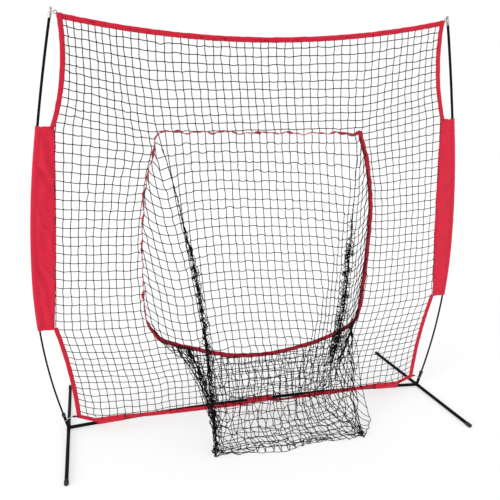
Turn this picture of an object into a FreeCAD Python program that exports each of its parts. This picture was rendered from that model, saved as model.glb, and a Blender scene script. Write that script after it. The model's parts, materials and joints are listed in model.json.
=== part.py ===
import FreeCAD, Part
import math
import os

# Ball practice net on a bow frame: a base bar between two crossed feet, a bowed pole at each end, and a
# square-mesh net with a strike-zone opening and a catching pocket hung between the poles.
# Frame: X along the base bar, -Y the side that the pocket hangs on, +Z up, origin on the floor under
# the middle of the bar. Millimetres. The frame is symmetric: side pieces are made at +X and mirrored.

V = FreeCAD.Vector
X_AXIS, Y_AXIS = V(1, 0, 0), V(0, 1, 0)
ORIGIN = V(0, 0, 0)
FIT = 0.3                      # gap between a piece and the curved face beside it
PRESS_FIT = 0.1                # gap round a piece that is pressed or wrapped on
BEYOND = 1.0                   # a cutting shape runs this far past what it cuts

# Base tubes
HUB_X = 1076.0                 # bar's middle to the crossing of bar and leg
LEG_Z = 11.0                   # axis of legs above the floor
TUBE_R = 9.5                   # 19 mm steel tube
TUBE_WALL = 1.2
LEG_LENGTH = 470.0             # crossing to the end of a leg
BAR_RISE = 36.0                # the poles arch the bar up at its middle
BAR_JOINT_X = 360.0            # where the middle bar section meets an end section
HUB_SLEEVE_R = 10.5
HUB_SLEEVE_HALF = 28.0
SPIGOT_LENGTH = 60.0
SPIGOT_WALL = 1.5
STUB_BORE = 6.0                # depth to which the bar spigot's bore enters the hub
FOOT_CAP_R = 11.6
FOOT_CAP_LENGTH = 26.0
FOOT_CAP_END = 5.0             # closed end of the cap, beyond the tube
FOOT_CAP_ROUNDING = 3.0

# Pole sockets and poles
SOCKET_LEAN = 13.9             # degrees outward from the vertical
SOCKET_R = 8.0
SOCKET_LENGTH = 90.0
SOCKET_DEPTH = 68.0
COLLAR_R = 10.5
COLLAR_LENGTH = 16.0
COLLAR_LIP = 3.0               # collar's height above the socket's mouth
COLLAR_ROUNDING = 1.5
LOWER_POLE_R = 4.8
UPPER_POLE_R = 6.2
POLE_STRAIGHT = 96.0
POLE_BENDS = ((800.0, 2735.0), (600.0, 4925.0), (620.0, 10650.0))   # length and radius of each bend
POLE_JOINT = 1010.0            # distance along the pole to the joint between its two lengths
FERRULE_R = 7.6
FERRULE_HALF = 45.0
TIP_R = 7.4
TIP_NECK_R = 5.0
TIP_LENGTH = 40.0              # tip's base to the middle of its ball
TIP_SKIRT_LENGTH = 28.0
TIP_OVER_POLE = 26.0           # length of pole inside the tip
TIP_BALL_R = 6.5
SLEEVE_SEAM = 16.0             # pole's axis to the seam that closes the sleeve's tunnel

# Ties at the net's corners
CORD_R = 1.1
RING_R, RING_WIRE_R = 7.0, 1.5
HOOK_WIRE_R = 1.25
HOOK_WRAP = 290.0              # degrees that the hook goes round the socket
HOOK_HEIGHT = 52.0             # crossing to the hook, along the socket
HOOK_EYE_R = 4.0
STRAP_WIDTH = 8.0

# Net plane and red trim
CLOTH = 1.3                    # thickness of the soft solids
NET_BACK_Y = -(TUBE_R + FIT)
NET_FRONT_Y = NET_BACK_Y - CLOTH
TRIM_GAP = 0.2
TRIM_WIDTH = 24.0
TOP_CORNER = (960.0, 2098.0)   # X and Z
TOP_MIDDLE_Z = 2008.0
UPPER_WAIST = (977.0, 1790.0)
SLEEVE_TOP = (1013.0, 1619.0)
SLEEVE_BOTTOM = (1099.0, 604.0)
LOWER_WAIST = (1040.0, 290.0)
BOTTOM_CORNER = (1026.0, 86.0)
UPPER_TRIM_MIDDLE = (962.0, 1860.0)
LOWER_TRIM_MIDDLE = (1049.0, 340.0)
NET_SPLITS = (0.0, 320.0, 640.0)   # X values at which the net's upper panels meet
NET_INSET = 4.0                # the net's upper edge lies this far inside its trim
HEM_SHOULDER = (860.0, 60.0)
HEM_MIDDLE_Z = 48.0
TAB_LENGTH = 152.0
TAB_CENTRES = {"left": -840.0, "centre": 32.0, "right": 855.0}

# Strike-zone opening, right half from its top corner down to the middle of its lower edge
OPENING = ((537.0, 1566.0), (600.0, 1290.0), (635.0, 950.0), (633.0, 750.0), (592.0, 552.0),
           (478.0, 400.0), (250.0, 350.0), (0.0, 336.0))
SILL_CORNER = 5                # the outline's point between its side and its lower edge
RIBBON_WIDTH = 24.0

# Pocket: its front panel falls from the opening's top edge to the floor in front of the bar
POCKET_FRONT_Y = -412.0
POCKET_FOOT_X = (-322.0, 492.0)
POCKET_FLOOR_Z = 3.0
POCKET_SEAM_GAP = 4.0
POCKET_INSET = 6.0             # the pocket hangs this far inside the opening's outline
POCKET_GAP = 2.0               # between the ribbon's face and the pocket's back edge

parts = {}


def both_sides(name, shape):
    """Store a piece made at +X and its mirror image at -X."""
    parts["right_" + name] = shape
    parts["left_" + name] = shape.mirror(ORIGIN, X_AXIS)


def cylinder(radius, start, direction, length):
    return Part.makeCylinder(radius, length, start, direction)


def swept(edges, radius):
    """Round bar of the given radius along tangent edges."""
    path = Part.Wire(edges)
    first = edges[0]
    start = first.valueAt(first.FirstParameter)
    ring = Part.Wire([Part.makeCircle(radius, start, first.tangentAt(first.FirstParameter))])
    return path.makePipeShell([ring], True, False)


def plate(points, y_near, y_far):
    """Flat plate with its outline in the XZ plane, between two Y values."""
    corners = [V(x, y_near, z) for x, z in points]
    face = Part.Face(Part.makePolygon(corners + corners[:1]))
    return face.extrude(V(0, y_far - y_near, 0))


def arc_through(first, middle, last):
    """Arc in the XZ plane through three points."""
    return Part.Arc(*[V(x, 0, z) for x, z in (first, middle, last)]).toShape()


# ---------------------------------------------------------------- base bar

BAR_RADIUS = (HUB_X ** 2 + BAR_RISE ** 2) / (2 * BAR_RISE)
BAR_CENTRE_Z = LEG_Z + BAR_RISE - BAR_RADIUS


def bar_z(x):
    return BAR_CENTRE_Z + math.sqrt(BAR_RADIUS ** 2 - x ** 2)


def bar_stretch(x_first, x_last, radius):
    """Solid bar that follows the base bar's arch between two X values."""
    middle = (x_first + x_last) / 2
    ends = [(x, bar_z(x)) for x in (x_first, middle, x_last)]
    return swept([arc_through(*ends)], radius)


def bar_tube(x_first, x_last):
    bore = bar_stretch(x_first - BEYOND, x_last + BEYOND, TUBE_R - TUBE_WALL)
    return bar_stretch(x_first, x_last, TUBE_R).cut(bore)


SPIGOT_R = TUBE_R - TUBE_WALL - FIT
bar_end_x = HUB_X - HUB_SLEEVE_HALF - FIT
both_sides("bar_section", bar_tube(BAR_JOINT_X + FIT, bar_end_x))
parts["middle_bar_section"] = bar_tube(-BAR_JOINT_X, BAR_JOINT_X)

spigot_start, spigot_end = BAR_JOINT_X - SPIGOT_LENGTH, BAR_JOINT_X + SPIGOT_LENGTH
joint_spigot = bar_stretch(spigot_start, spigot_end, SPIGOT_R)
spigot_bore = bar_stretch(spigot_start - BEYOND, spigot_end + BEYOND, SPIGOT_R - SPIGOT_WALL)
both_sides("bar_joint_spigot", joint_spigot.cut(spigot_bore))


# ---------------------------------------------------------------- hubs

crossing = V(HUB_X, 0, LEG_Z)
lean = math.radians(SOCKET_LEAN)
socket_axis = V(math.sin(lean), 0, math.cos(lean))


def socket_point(distance):
    return crossing + socket_axis * distance


def make_hub():
    """Welded crossing: leg sleeve with a spigot each way, bar stub with its spigot, and pole socket."""
    reach = HUB_SLEEVE_HALF + SPIGOT_LENGTH
    bore_r = SPIGOT_R - SPIGOT_WALL
    sleeve_start = crossing - Y_AXIS * HUB_SLEEVE_HALF
    leg_sleeve = cylinder(HUB_SLEEVE_R, sleeve_start, Y_AXIS, 2 * HUB_SLEEVE_HALF)
    leg_spigots = cylinder(SPIGOT_R, crossing - Y_AXIS * reach, Y_AXIS, 2 * reach)
    bar_stub = bar_stretch(HUB_X - HUB_SLEEVE_HALF, HUB_X, TUBE_R)
    bar_spigot = bar_stretch(HUB_X - reach, HUB_X - HUB_SLEEVE_HALF, SPIGOT_R)
    socket = cylinder(SOCKET_R, crossing, socket_axis, SOCKET_LENGTH)
    body = leg_sleeve.multiFuse([leg_spigots, bar_stub, bar_spigot, socket])
    leg_bore_start = crossing - Y_AXIS * (reach + BEYOND)
    leg_bore = cylinder(bore_r, leg_bore_start, Y_AXIS, 2 * (reach + BEYOND))
    bar_bore = bar_stretch(HUB_X - reach - BEYOND, HUB_X - HUB_SLEEVE_HALF + STUB_BORE, bore_r)
    socket_floor = socket_point(SOCKET_LENGTH - SOCKET_DEPTH)
    pole_bore = cylinder(LOWER_POLE_R + FIT, socket_floor, socket_axis, SOCKET_DEPTH + BEYOND)
    return body.cut(leg_bore).cut(bar_bore).cut(pole_bore).removeSplitter()


def make_socket_collar():
    """Plastic cap pressed over the mouth of the pole socket, with a hole for the pole."""
    foot = SOCKET_LENGTH + COLLAR_LIP - COLLAR_LENGTH
    body = cylinder(COLLAR_R, socket_point(foot), socket_axis, COLLAR_LENGTH)
    seat_length = SOCKET_LENGTH - foot + BEYOND + PRESS_FIT
    seat = cylinder(SOCKET_R + PRESS_FIT, socket_point(foot - BEYOND), socket_axis, seat_length)
    mouth = cylinder(LOWER_POLE_R + FIT, socket_point(foot), socket_axis, COLLAR_LENGTH + BEYOND)
    middle_z = body.BoundBox.Center.z
    rim = [edge for edge in body.Edges if edge.BoundBox.ZMin > middle_z and len(edge.Vertexes) == 1]
    return body.makeFillet(COLLAR_ROUNDING, rim).cut(seat).cut(mouth)


both_sides("hub", make_hub())
both_sides("socket_collar", make_socket_collar())


# ---------------------------------------------------------------- legs

def make_leg(toward):
    """Leg tube that plugs over the hub's spigot. toward is -1 for the front leg, 1 for the rear leg."""
    direction = Y_AXIS * toward
    start = crossing + direction * (HUB_SLEEVE_HALF + FIT)
    run = LEG_LENGTH - FOOT_CAP_END - HUB_SLEEVE_HALF - FIT
    bore = cylinder(TUBE_R - TUBE_WALL, start, direction, run)
    return cylinder(TUBE_R, start, direction, run).cut(bore)


def make_foot_cap(toward):
    """Rubber cap over the leg's end, with a narrow flat that stands on the floor."""
    direction = Y_AXIS * toward
    start = crossing + direction * (LEG_LENGTH - FOOT_CAP_LENGTH)
    body = cylinder(FOOT_CAP_R, start, direction, FOOT_CAP_LENGTH)
    end_y = toward * LEG_LENGTH
    end_rim = [edge for edge in body.Edges if abs(edge.BoundBox.Center.y - end_y) < 0.1]
    body = body.makeFillet(FOOT_CAP_ROUNDING, end_rim)
    seat = cylinder(TUBE_R + PRESS_FIT, start, direction, FOOT_CAP_LENGTH - FOOT_CAP_END)
    half = 2 * FOOT_CAP_R
    corner = V(HUB_X - half, -LEG_LENGTH, -half)
    below_floor = Part.makeBox(2 * half, 2 * LEG_LENGTH, half, corner)
    return body.cut(seat).cut(below_floor)


for leg_name, side in (("front", -1), ("rear", 1)):
    both_sides(leg_name + "_leg", make_leg(side))
    both_sides(leg_name + "_foot_cap", make_foot_cap(side))


# ---------------------------------------------------------------- poles

def pole_state(distance):
    """(point, heading in radians from the vertical) at a distance along the pole from the crossing."""
    point, heading = V(crossing), lean
    run = min(distance, POLE_STRAIGHT)
    point = point + V(math.sin(heading), 0, math.cos(heading)) * run
    left = distance - run
    for length, radius in POLE_BENDS:
        run = min(left, length)
        turned = heading - run / radius
        across = math.cos(turned) - math.cos(heading)
        upward = math.sin(heading) - math.sin(turned)
        point = point + V(across, 0, upward) * radius
        heading = turned
        left -= run
    return point, heading


POLE_END = POLE_STRAIGHT + sum(length for length, radius in POLE_BENDS)


def beside_pole(distance, outward):
    """Point that far outward from the pole's axis."""
    point, heading = pole_state(distance)
    return point + V(math.cos(heading), 0, -math.sin(heading)) * outward


def pole_edges(first, last, outward=0.0):
    """Tangent edges beside the pole's axis, between two distances along it."""
    breaks = [POLE_STRAIGHT]
    for length, radius in POLE_BENDS:
        breaks.append(breaks[-1] + length)
    stops = [first] + [b for b in breaks if first < b < last] + [last]
    edges = []
    for start, stop in zip(stops, stops[1:]):
        near, middle, far = [beside_pole(d, outward) for d in (start, (start + stop) / 2, stop)]
        if stop <= POLE_STRAIGHT:
            edges.append(Part.LineSegment(near, far).toShape())
        else:
            edges.append(Part.Arc(near, middle, far).toShape())
    return edges


def pole_distance_at(z):
    """Distance along the pole at which it reaches the height z."""
    low, high = 0.0, POLE_END
    while high - low > 0.01:
        middle = (low + high) / 2
        if pole_state(middle)[0].z < z:
            low = middle
        else:
            high = middle
    return low


def make_ferrule():
    """Metal sleeve that joins the thin lower pole to the thicker upper pole."""
    low, high = POLE_JOINT - FERRULE_HALF, POLE_JOINT + FERRULE_HALF
    body = swept(pole_edges(low, high), FERRULE_R)
    lower_bore = swept(pole_edges(low - BEYOND, POLE_JOINT), LOWER_POLE_R + PRESS_FIT)
    upper_bore = swept(pole_edges(POLE_JOINT, high + BEYOND), UPPER_POLE_R + PRESS_FIT)
    return body.cut(lower_bore).cut(upper_bore)


def make_tip():
    """Bright metal tip over the pole's end, with a ball that keeps the net's corner loop on."""
    point, heading = pole_state(POLE_END)
    up = V(math.sin(heading), 0, math.cos(heading))
    base = point - up * TIP_OVER_POLE
    skirt = cylinder(TIP_R, base, up, TIP_SKIRT_LENGTH)
    neck = cylinder(TIP_NECK_R, base, up, TIP_LENGTH)
    ball = Part.makeSphere(TIP_BALL_R, base + up * TIP_LENGTH)
    bore = swept(pole_edges(POLE_END - TIP_LENGTH, POLE_END), UPPER_POLE_R + PRESS_FIT)
    return skirt.multiFuse([neck, ball]).cut(bore)


pole_start = SOCKET_LENGTH - SOCKET_DEPTH + FIT
both_sides("lower_pole", swept(pole_edges(pole_start, POLE_JOINT - FIT), LOWER_POLE_R))
both_sides("upper_pole", swept(pole_edges(POLE_JOINT, POLE_END - FIT), UPPER_POLE_R))
both_sides("pole_ferrule", make_ferrule())
both_sides("pole_tip", make_tip())


# ---------------------------------------------------------------- net corners

def make_top_cord():
    """White tie cord: a loop round the tip's skirt and a short end to the net's corner ring."""
    point, heading = pole_state(POLE_END)
    up = V(math.sin(heading), 0, math.cos(heading))
    centre = point - up * 4
    loop = Part.makeTorus(TIP_R + CORD_R + FIT, CORD_R, centre, up)
    start = centre + V(-(TIP_R + CORD_R + PRESS_FIT), -2, 0)
    end = V(TOP_CORNER[0] + 11, NET_FRONT_Y + 1, TOP_CORNER[1])
    return loop.fuse(cylinder(CORD_R, start, end - start, (end - start).Length))


def make_corner_hook():
    """Open wire hook that goes round the pole socket, with a shank toward the net's bottom corner."""
    hook_r = SOCKET_R + HOOK_WIRE_R + FIT
    centre = socket_point(HOOK_HEIGHT)
    across = socket_axis.cross(Y_AXIS)
    if across.x > 0:
        across = across * -1
    bend_start = centre + across * hook_r
    section = Part.Face(Part.Wire([Part.makeCircle(HOOK_WIRE_R, bend_start, Y_AXIS)]))
    bend = section.revolve(centre, socket_axis, HOOK_WRAP)
    shank_end = V(BOTTOM_CORNER[0] + 27, -5, BOTTOM_CORNER[1] - 7)
    run = shank_end - bend_start
    shank = cylinder(HOOK_WIRE_R, bend_start, run, run.Length)
    eye_centre = shank_end + V(-3.8, -0.6, 0.8)
    eye = Part.makeTorus(HOOK_EYE_R, HOOK_WIRE_R, eye_centre, V(0.15, 1, 0))
    return bend.multiFuse([shank, eye])


def make_corner_strap():
    """Short dark elastic strap from the hook's eye to the net's bottom corner."""
    start = V(BOTTOM_CORNER[0] + 17.5, -6.6, BOTTOM_CORNER[1] - 4)
    end = V(BOTTOM_CORNER[0] + 1, NET_BACK_Y + 2, BOTTOM_CORNER[1])
    run = end - start
    strap = Part.makeBox(run.Length, CLOTH, STRAP_WIDTH, V(0, -CLOTH / 2, -STRAP_WIDTH / 2))
    strap.Placement = FreeCAD.Placement(start, FreeCAD.Rotation(X_AXIS, run))
    return strap


both_sides("top_cord", make_top_cord())
ring_y = NET_FRONT_Y - TRIM_GAP - CLOTH - RING_WIRE_R - FIT
ring_centre = V(TOP_CORNER[0] + 3, ring_y, TOP_CORNER[1])
both_sides("top_corner_ring", Part.makeTorus(RING_R, RING_WIRE_R, ring_centre, Y_AXIS))
both_sides("corner_hook", make_corner_hook())
both_sides("corner_strap", make_corner_strap())


# ---------------------------------------------------------------- side sleeves

def joined(near_edges, far_edges):
    """Flat face between two rows of edges that run the same way."""
    rows = [(row[0].valueAt(row[0].FirstParameter), row[-1].valueAt(row[-1].LastParameter))
            for row in (near_edges, far_edges)]
    ends = [Part.LineSegment(near, far).toShape() for near, far in zip(*rows)]
    return Part.Face(Part.Wire(Part.__sortEdges__(near_edges + far_edges + ends)))


def make_side_sleeve():
    """Red fabric panel with a flat tunnel that the pole runs through."""
    first = pole_distance_at(SLEEVE_BOTTOM[1])
    last = pole_distance_at(SLEEVE_TOP[1])

    def along_pole(outer, inner, half_depth, beyond=0.0):
        ends = (first - beyond, last + beyond)
        face = joined(pole_edges(*ends, outer), pole_edges(*ends, inner))
        face.translate(V(0, -half_depth, 0))
        return face.extrude(V(0, 2 * half_depth, 0))

    outside, inside = -NET_FRONT_Y, -NET_BACK_Y
    tunnel = along_pole(outside, -SLEEVE_SEAM, outside)
    bore = along_pole(inside, -SLEEVE_SEAM + CLOTH, inside, BEYOND)
    net_ends = [V(x, 0, z) for x, z in (SLEEVE_BOTTOM, SLEEVE_TOP)]
    net_seam = Part.LineSegment(*net_ends).toShape()
    pole_seam = pole_edges(first, last, -SLEEVE_SEAM + CLOTH / 2)
    panel = joined(pole_seam, [net_seam]).extrude(V(0, -CLOTH, 0))
    panel.translate(V(0, NET_BACK_Y, 0))
    return tunnel.cut(bore).fuse(panel).removeSplitter()


both_sides("side_sleeve", make_side_sleeve())


# ---------------------------------------------------------------- main net

def net_edge_x(z):
    """Outer edge of the netting at a height: straight runs between its corners."""
    corners = (TOP_CORNER, UPPER_WAIST, SLEEVE_TOP, SLEEVE_BOTTOM, LOWER_WAIST, BOTTOM_CORNER)
    for (x_high, z_high), (x_low, z_low) in zip(corners, corners[1:]):
        if z >= z_low:
            return x_low + (x_high - x_low) * (z - z_low) / (z_high - z_low) - 1
    return BOTTOM_CORNER[0] - 1


TOP_RISE = TOP_CORNER[1] - TOP_MIDDLE_Z
TOP_RADIUS = (TOP_CORNER[0] ** 2 + TOP_RISE ** 2) / (2 * TOP_RISE)


def top_edge_z(x):
    return TOP_MIDDLE_Z + TOP_RADIUS - math.sqrt(TOP_RADIUS ** 2 - x ** 2)


def net_edge(z):
    """The netting's outer edge as a point (X, Z)."""
    return (net_edge_x(z), z)


def net_top(x):
    """The netting's upper edge as a point (X, Z)."""
    return (x, top_edge_z(x) - NET_INSET)


def hem_z(x):
    """Middle of the bottom hem: nearly level along the bar, rising to the corners."""
    reach = abs(x)
    if reach < HEM_SHOULDER[0]:
        return HEM_MIDDLE_Z + (HEM_SHOULDER[1] - HEM_MIDDLE_Z) * (reach / HEM_SHOULDER[0]) ** 2
    share = (reach - HEM_SHOULDER[0]) / (BOTTOM_CORNER[0] - HEM_SHOULDER[0])
    return HEM_SHOULDER[1] + (BOTTOM_CORNER[1] - HEM_SHOULDER[1]) * share


def net_outlines():
    """Outlines of the convex panels that together fill the net round its opening, right half first."""
    lintel_z = OPENING[0][1]
    outlines = []
    for near, far in zip(NET_SPLITS, NET_SPLITS[1:]):
        outlines.append([(near, lintel_z), (far, lintel_z), net_top(far), net_top(near)])
    last_split = NET_SPLITS[-1]
    top_corner = (TOP_CORNER[0] - 3, TOP_CORNER[1] - NET_INSET)
    outlines.append([(last_split, lintel_z), net_edge(lintel_z), net_edge(SLEEVE_TOP[1]),
                     net_edge(UPPER_WAIST[1]), top_corner, net_top(last_split)])
    jambs = OPENING[:SILL_CORNER + 1]
    for (x_high, z_high), (x_low, z_low) in zip(jambs, jambs[1:]):
        outer = [net_edge(z_low), net_edge(z_high)]
        if z_low < SLEEVE_BOTTOM[1] < z_high:
            outer.insert(1, net_edge(SLEEVE_BOTTOM[1]))
        outlines.append([(x_high, z_high), (x_low, z_low)] + outer)
    sill_x, sill_z = OPENING[SILL_CORNER]
    bottom_corner = (BOTTOM_CORNER[0] - 1, BOTTOM_CORNER[1])
    outlines.append([(sill_x, sill_z), (sill_x, hem_z(sill_x)), HEM_SHOULDER,
                     bottom_corner, net_edge(LOWER_WAIST[1]), net_edge(sill_z)])
    lower = OPENING[SILL_CORNER:]
    for (x_far, z_far), (x_near, z_near) in zip(lower, lower[1:]):
        hem = [(x_near, hem_z(x_near)), (x_far, hem_z(x_far))]
        outlines.append([(x_far, z_far), (x_near, z_near)] + hem)
    return outlines


def shrunk(outline, margin):
    """The outline with each corner drawn toward the middle, so that neighbours stay apart."""
    middle_x = sum(x for x, z in outline) / len(outline)
    middle_z = sum(z for x, z in outline) / len(outline)
    drawn_in = []
    for x, z in outline:
        inward_x = math.copysign(margin, middle_x - x)
        inward_z = math.copysign(margin, middle_z - z)
        drawn_in.append((x + inward_x, z + inward_z))
    return drawn_in


net_panels = []
for net_outline in net_outlines():
    right_panel = plate(shrunk(net_outline, TRIM_GAP), NET_BACK_Y, NET_FRONT_Y)
    net_panels += [right_panel, right_panel.mirror(ORIGIN, X_AXIS)]
parts["main_net"] = Part.makeCompound(net_panels)


# ---------------------------------------------------------------- trim

TRIM_BACK_Y = NET_FRONT_Y - TRIM_GAP


def ribbon(outer_edge, inner_edge):
    """Flat tape on the net's front face between two outline edges that run the same way."""
    tape = joined([outer_edge], [inner_edge]).extrude(V(0, -CLOTH, 0))
    tape.translate(V(0, TRIM_BACK_Y, 0))
    return tape


def side_ribbon(first, middle, last):
    """Tape along a curved side edge of the net, given the edge's three points from the top down."""
    inner = [(x - TRIM_WIDTH, z) for x, z in (first, middle, last)]
    return ribbon(arc_through(first, middle, last), arc_through(*inner))


corner_x, corner_z = TOP_CORNER
top_outer = arc_through((-corner_x, corner_z), (0, TOP_MIDDLE_Z), (corner_x, corner_z))
inner_z = corner_z - TRIM_WIDTH
top_inner = arc_through((-corner_x, inner_z), (0, TOP_MIDDLE_Z - TRIM_WIDTH), (corner_x, inner_z))
parts["top_trim"] = ribbon(top_outer, top_inner)

UNDER_TOP_TRIM = 7.0           # the top tape curves down this much within the side tape's width
upper_start = (corner_x, inner_z - UNDER_TOP_TRIM)
lower_end = (BOTTOM_CORNER[0], BOTTOM_CORNER[1] + TRIM_WIDTH / 2 + 1)
both_sides("upper_side_trim", side_ribbon(upper_start, UPPER_TRIM_MIDDLE, SLEEVE_TOP))
both_sides("lower_side_trim", side_ribbon(SLEEVE_BOTTOM, LOWER_TRIM_MIDDLE, lower_end))


def make_hem():
    """Tape along the net's bottom edge, in front of the base bar."""
    stations = [BOTTOM_CORNER[0], HEM_SHOULDER[0], HEM_SHOULDER[0] / 2, 0]
    stations += [-x for x in reversed(stations[:-1])]
    upper = [(x, hem_z(x) + TRIM_WIDTH / 2) for x in stations]
    lower = [(x, hem_z(x) - TRIM_WIDTH / 2) for x in reversed(stations)]
    return plate(upper + lower, TRIM_BACK_Y, TRIM_BACK_Y - CLOTH)


parts["bottom_hem"] = make_hem()


def make_bar_tab(centre_x):
    """Red fabric loop round the base bar, under the hem."""
    low, high = centre_x - TAB_LENGTH / 2, centre_x + TAB_LENGTH / 2
    loop_r = TUBE_R + PRESS_FIT
    loop = bar_stretch(low, high, loop_r + CLOTH)
    bore = bar_stretch(low - BEYOND, high + BEYOND, loop_r)
    depth = 2 * loop_r
    corner = V(low - BEYOND, NET_BACK_Y + PRESS_FIT - depth, 0)
    net_side = Part.makeBox(TAB_LENGTH + 2 * BEYOND, depth, 4 * depth, corner)
    return loop.cut(bore).cut(net_side)


for tab_name, tab_x in TAB_CENTRES.items():
    parts[tab_name + "_bar_tab"] = make_bar_tab(tab_x)


def make_opening_ribbon():
    """Dark red tape round the edge of the strike-zone opening."""
    right_half = list(OPENING)
    left_half = [(-x, z) for x, z in reversed(right_half[:-1])]
    outer = right_half + left_half
    middle_z = (OPENING[0][1] + OPENING[-1][1]) / 2
    narrowed = 1 - RIBBON_WIDTH / max(x for x, z in OPENING)
    lowered = 1 - RIBBON_WIDTH / (OPENING[0][1] - middle_z)
    inner = [(x * narrowed, middle_z + (z - middle_z) * lowered) for x, z in outer]
    ring = plate(outer, TRIM_BACK_Y, TRIM_BACK_Y - CLOTH)
    return ring.cut(plate(inner, TRIM_BACK_Y + BEYOND, TRIM_BACK_Y - CLOTH - BEYOND))


parts["opening_ribbon"] = make_opening_ribbon()


# ---------------------------------------------------------------- pocket

def leaf(corners):
    """Thin flat triangle of netting, drawn in from its corners so that neighbours stay apart."""
    middle = (corners[0] + corners[1] + corners[2]) * (1 / 3)
    drawn_in = []
    for corner in corners:
        inward = middle - corner
        drawn_in.append(corner + inward * (3 * POCKET_SEAM_GAP / inward.Length))
    normal = (corners[1] - corners[0]).cross(corners[2] - corners[0])
    face = Part.Face(Part.makePolygon(drawn_in + drawn_in[:1]))
    return face.extrude(normal * (CLOTH / normal.Length))


POCKET_BACK_Y = TRIM_BACK_Y - CLOTH - POCKET_GAP


def mouth_point(x, z):
    """A point of the opening's edge, just in front of its ribbon."""
    return V(x, POCKET_BACK_Y, z)


foot_left, foot_right = [V(x, POCKET_FRONT_Y, POCKET_FLOOR_Z) for x in POCKET_FOOT_X]
head_x, head_z = OPENING[0][0] - POCKET_INSET, OPENING[0][1] - POCKET_INSET
head_left, head_right = mouth_point(-head_x, head_z), mouth_point(head_x, head_z)
parts["pocket_front"] = Part.makeCompound([leaf((head_left, foot_left, foot_right)),
                                           leaf((head_left, foot_right, head_right))])

for side_name, mirror_x, foot in (("left", -1, foot_left), ("right", 1, foot_right)):
    stations = (OPENING[0], OPENING[2], OPENING[4], OPENING[SILL_CORNER])
    jamb = [mouth_point(mirror_x * (x - POCKET_INSET), z) for x, z in stations]
    leaves = [leaf((foot, high, low)) for high, low in zip(jamb, jamb[1:])]
    parts["pocket_" + side_name + "_side"] = Part.makeCompound(leaves)

sill = [mouth_point(x, z + POCKET_INSET) for x, z in OPENING[SILL_CORNER:]]
sill += [mouth_point(-point.x, point.z) for point in sill[1::-1]]
floor_leaves = [leaf((foot_right, sill[0], sill[1])), leaf((foot_right, sill[1], sill[2])),
                leaf((foot_right, sill[2], foot_left)), leaf((foot_left, sill[2], sill[3])),
                leaf((foot_left, sill[3], sill[4]))]
parts["pocket_bottom"] = Part.makeCompound(floor_leaves)


# ---------------------------------------------------------------- files

os.makedirs("parts", exist_ok=True)
for node, shape in parts.items():
    shape.exportStep("parts/" + node + ".step")
tip_point = pole_state(POLE_END)[0]
print(len(parts), "nodes; pole end at X %.0f, Z %.0f" % (tip_point.x, tip_point.z))
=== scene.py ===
import itertools
import json
import math
import bpy
import numpy as np
from mathutils import Matrix, Vector
from mathutils.geometry import convex_hull_2d


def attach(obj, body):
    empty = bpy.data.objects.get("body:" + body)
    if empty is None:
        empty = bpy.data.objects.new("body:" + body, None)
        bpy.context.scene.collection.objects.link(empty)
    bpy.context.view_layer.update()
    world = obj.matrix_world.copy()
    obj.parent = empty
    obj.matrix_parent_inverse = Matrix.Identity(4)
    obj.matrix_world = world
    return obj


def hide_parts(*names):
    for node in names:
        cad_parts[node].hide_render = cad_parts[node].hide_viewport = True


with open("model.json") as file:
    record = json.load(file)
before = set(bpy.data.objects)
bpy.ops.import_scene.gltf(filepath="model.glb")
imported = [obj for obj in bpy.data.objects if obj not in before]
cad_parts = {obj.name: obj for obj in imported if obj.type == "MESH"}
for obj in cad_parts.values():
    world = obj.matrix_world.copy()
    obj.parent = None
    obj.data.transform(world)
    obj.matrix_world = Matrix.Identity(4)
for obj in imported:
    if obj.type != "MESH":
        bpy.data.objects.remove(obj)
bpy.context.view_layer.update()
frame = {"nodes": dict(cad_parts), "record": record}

# Ball practice net on a bow frame. Metres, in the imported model's frame: X along the base bar, -Y the side
# that the pocket hangs on, Z up. Fabric, cords and netting are built here; tubes, poles, rings and hooks are
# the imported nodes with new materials.

BODY = "net_frame"
UP = np.array([0.0, 0.0, 1.0])
SIDES = (-1, "left"), (1, "right")
random = np.random.default_rng(11)


# ---- camera, light, floor

scene = bpy.context.scene


def add(name, data):
    made = bpy.data.objects.new(name, data)
    scene.collection.objects.link(made)
    return made


def rotated_frame(yaw, pitch, roll):
    """Camera axes as a rotation matrix: yaw from +Y toward +X, pitch below the horizon, roll about the view."""
    forward = np.array([math.sin(yaw) * math.cos(pitch), math.cos(yaw) * math.cos(pitch), -math.sin(pitch)])
    level = np.array([math.cos(yaw), -math.sin(yaw), 0.0])
    over = np.cross(level, forward)
    right = math.cos(roll) * level + math.sin(roll) * over
    above = math.cos(roll) * over - math.sin(roll) * level
    return np.stack([right, above, -forward], axis=1)


camera_data = bpy.data.cameras.new("camera")
camera_data.sensor_width, camera_data.lens = 36.0, 36.35
camera_data.shift_x, camera_data.shift_y = 0.128, 0.046
camera = add("camera", camera_data)
camera_axes = rotated_frame(math.radians(10.91), math.radians(16.70), math.radians(-1.01))
camera.matrix_world = Matrix.Translation((-0.884, -2.525, 1.628)) @ Matrix(camera_axes.tolist()).to_4x4()
scene.camera = camera

world = bpy.data.worlds.new("studio")
world.use_nodes = True
world.node_tree.nodes["Background"].inputs["Color"].default_value = (1.0, 1.0, 1.0, 1.0)
world.node_tree.nodes["Background"].inputs["Strength"].default_value = 1.0
scene.world = world
scene.view_settings.view_transform = "Standard"


def soft_light(name, toward, spread, strength):
    """Wide distant light that comes from the given direction."""
    data = bpy.data.lights.new(name, "SUN")
    data.angle, data.energy = spread, strength
    back = np.array(toward) / np.linalg.norm(toward)
    side = np.cross(UP, back)
    side /= np.linalg.norm(side)
    turn = np.stack([side, np.cross(back, side), back], axis=1)
    add(name, data).matrix_world = Matrix(turn.tolist()).to_4x4()


soft_light("key_light", (-0.86, -0.40, 0.36), 0.42, 1.9)
soft_light("fill_light", (0.80, -0.45, 0.42), 0.60, 0.32)


# ---- materials

BAND = math.pi / 10      # a wave texture of this scale has one band per metre of its coordinate


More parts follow.
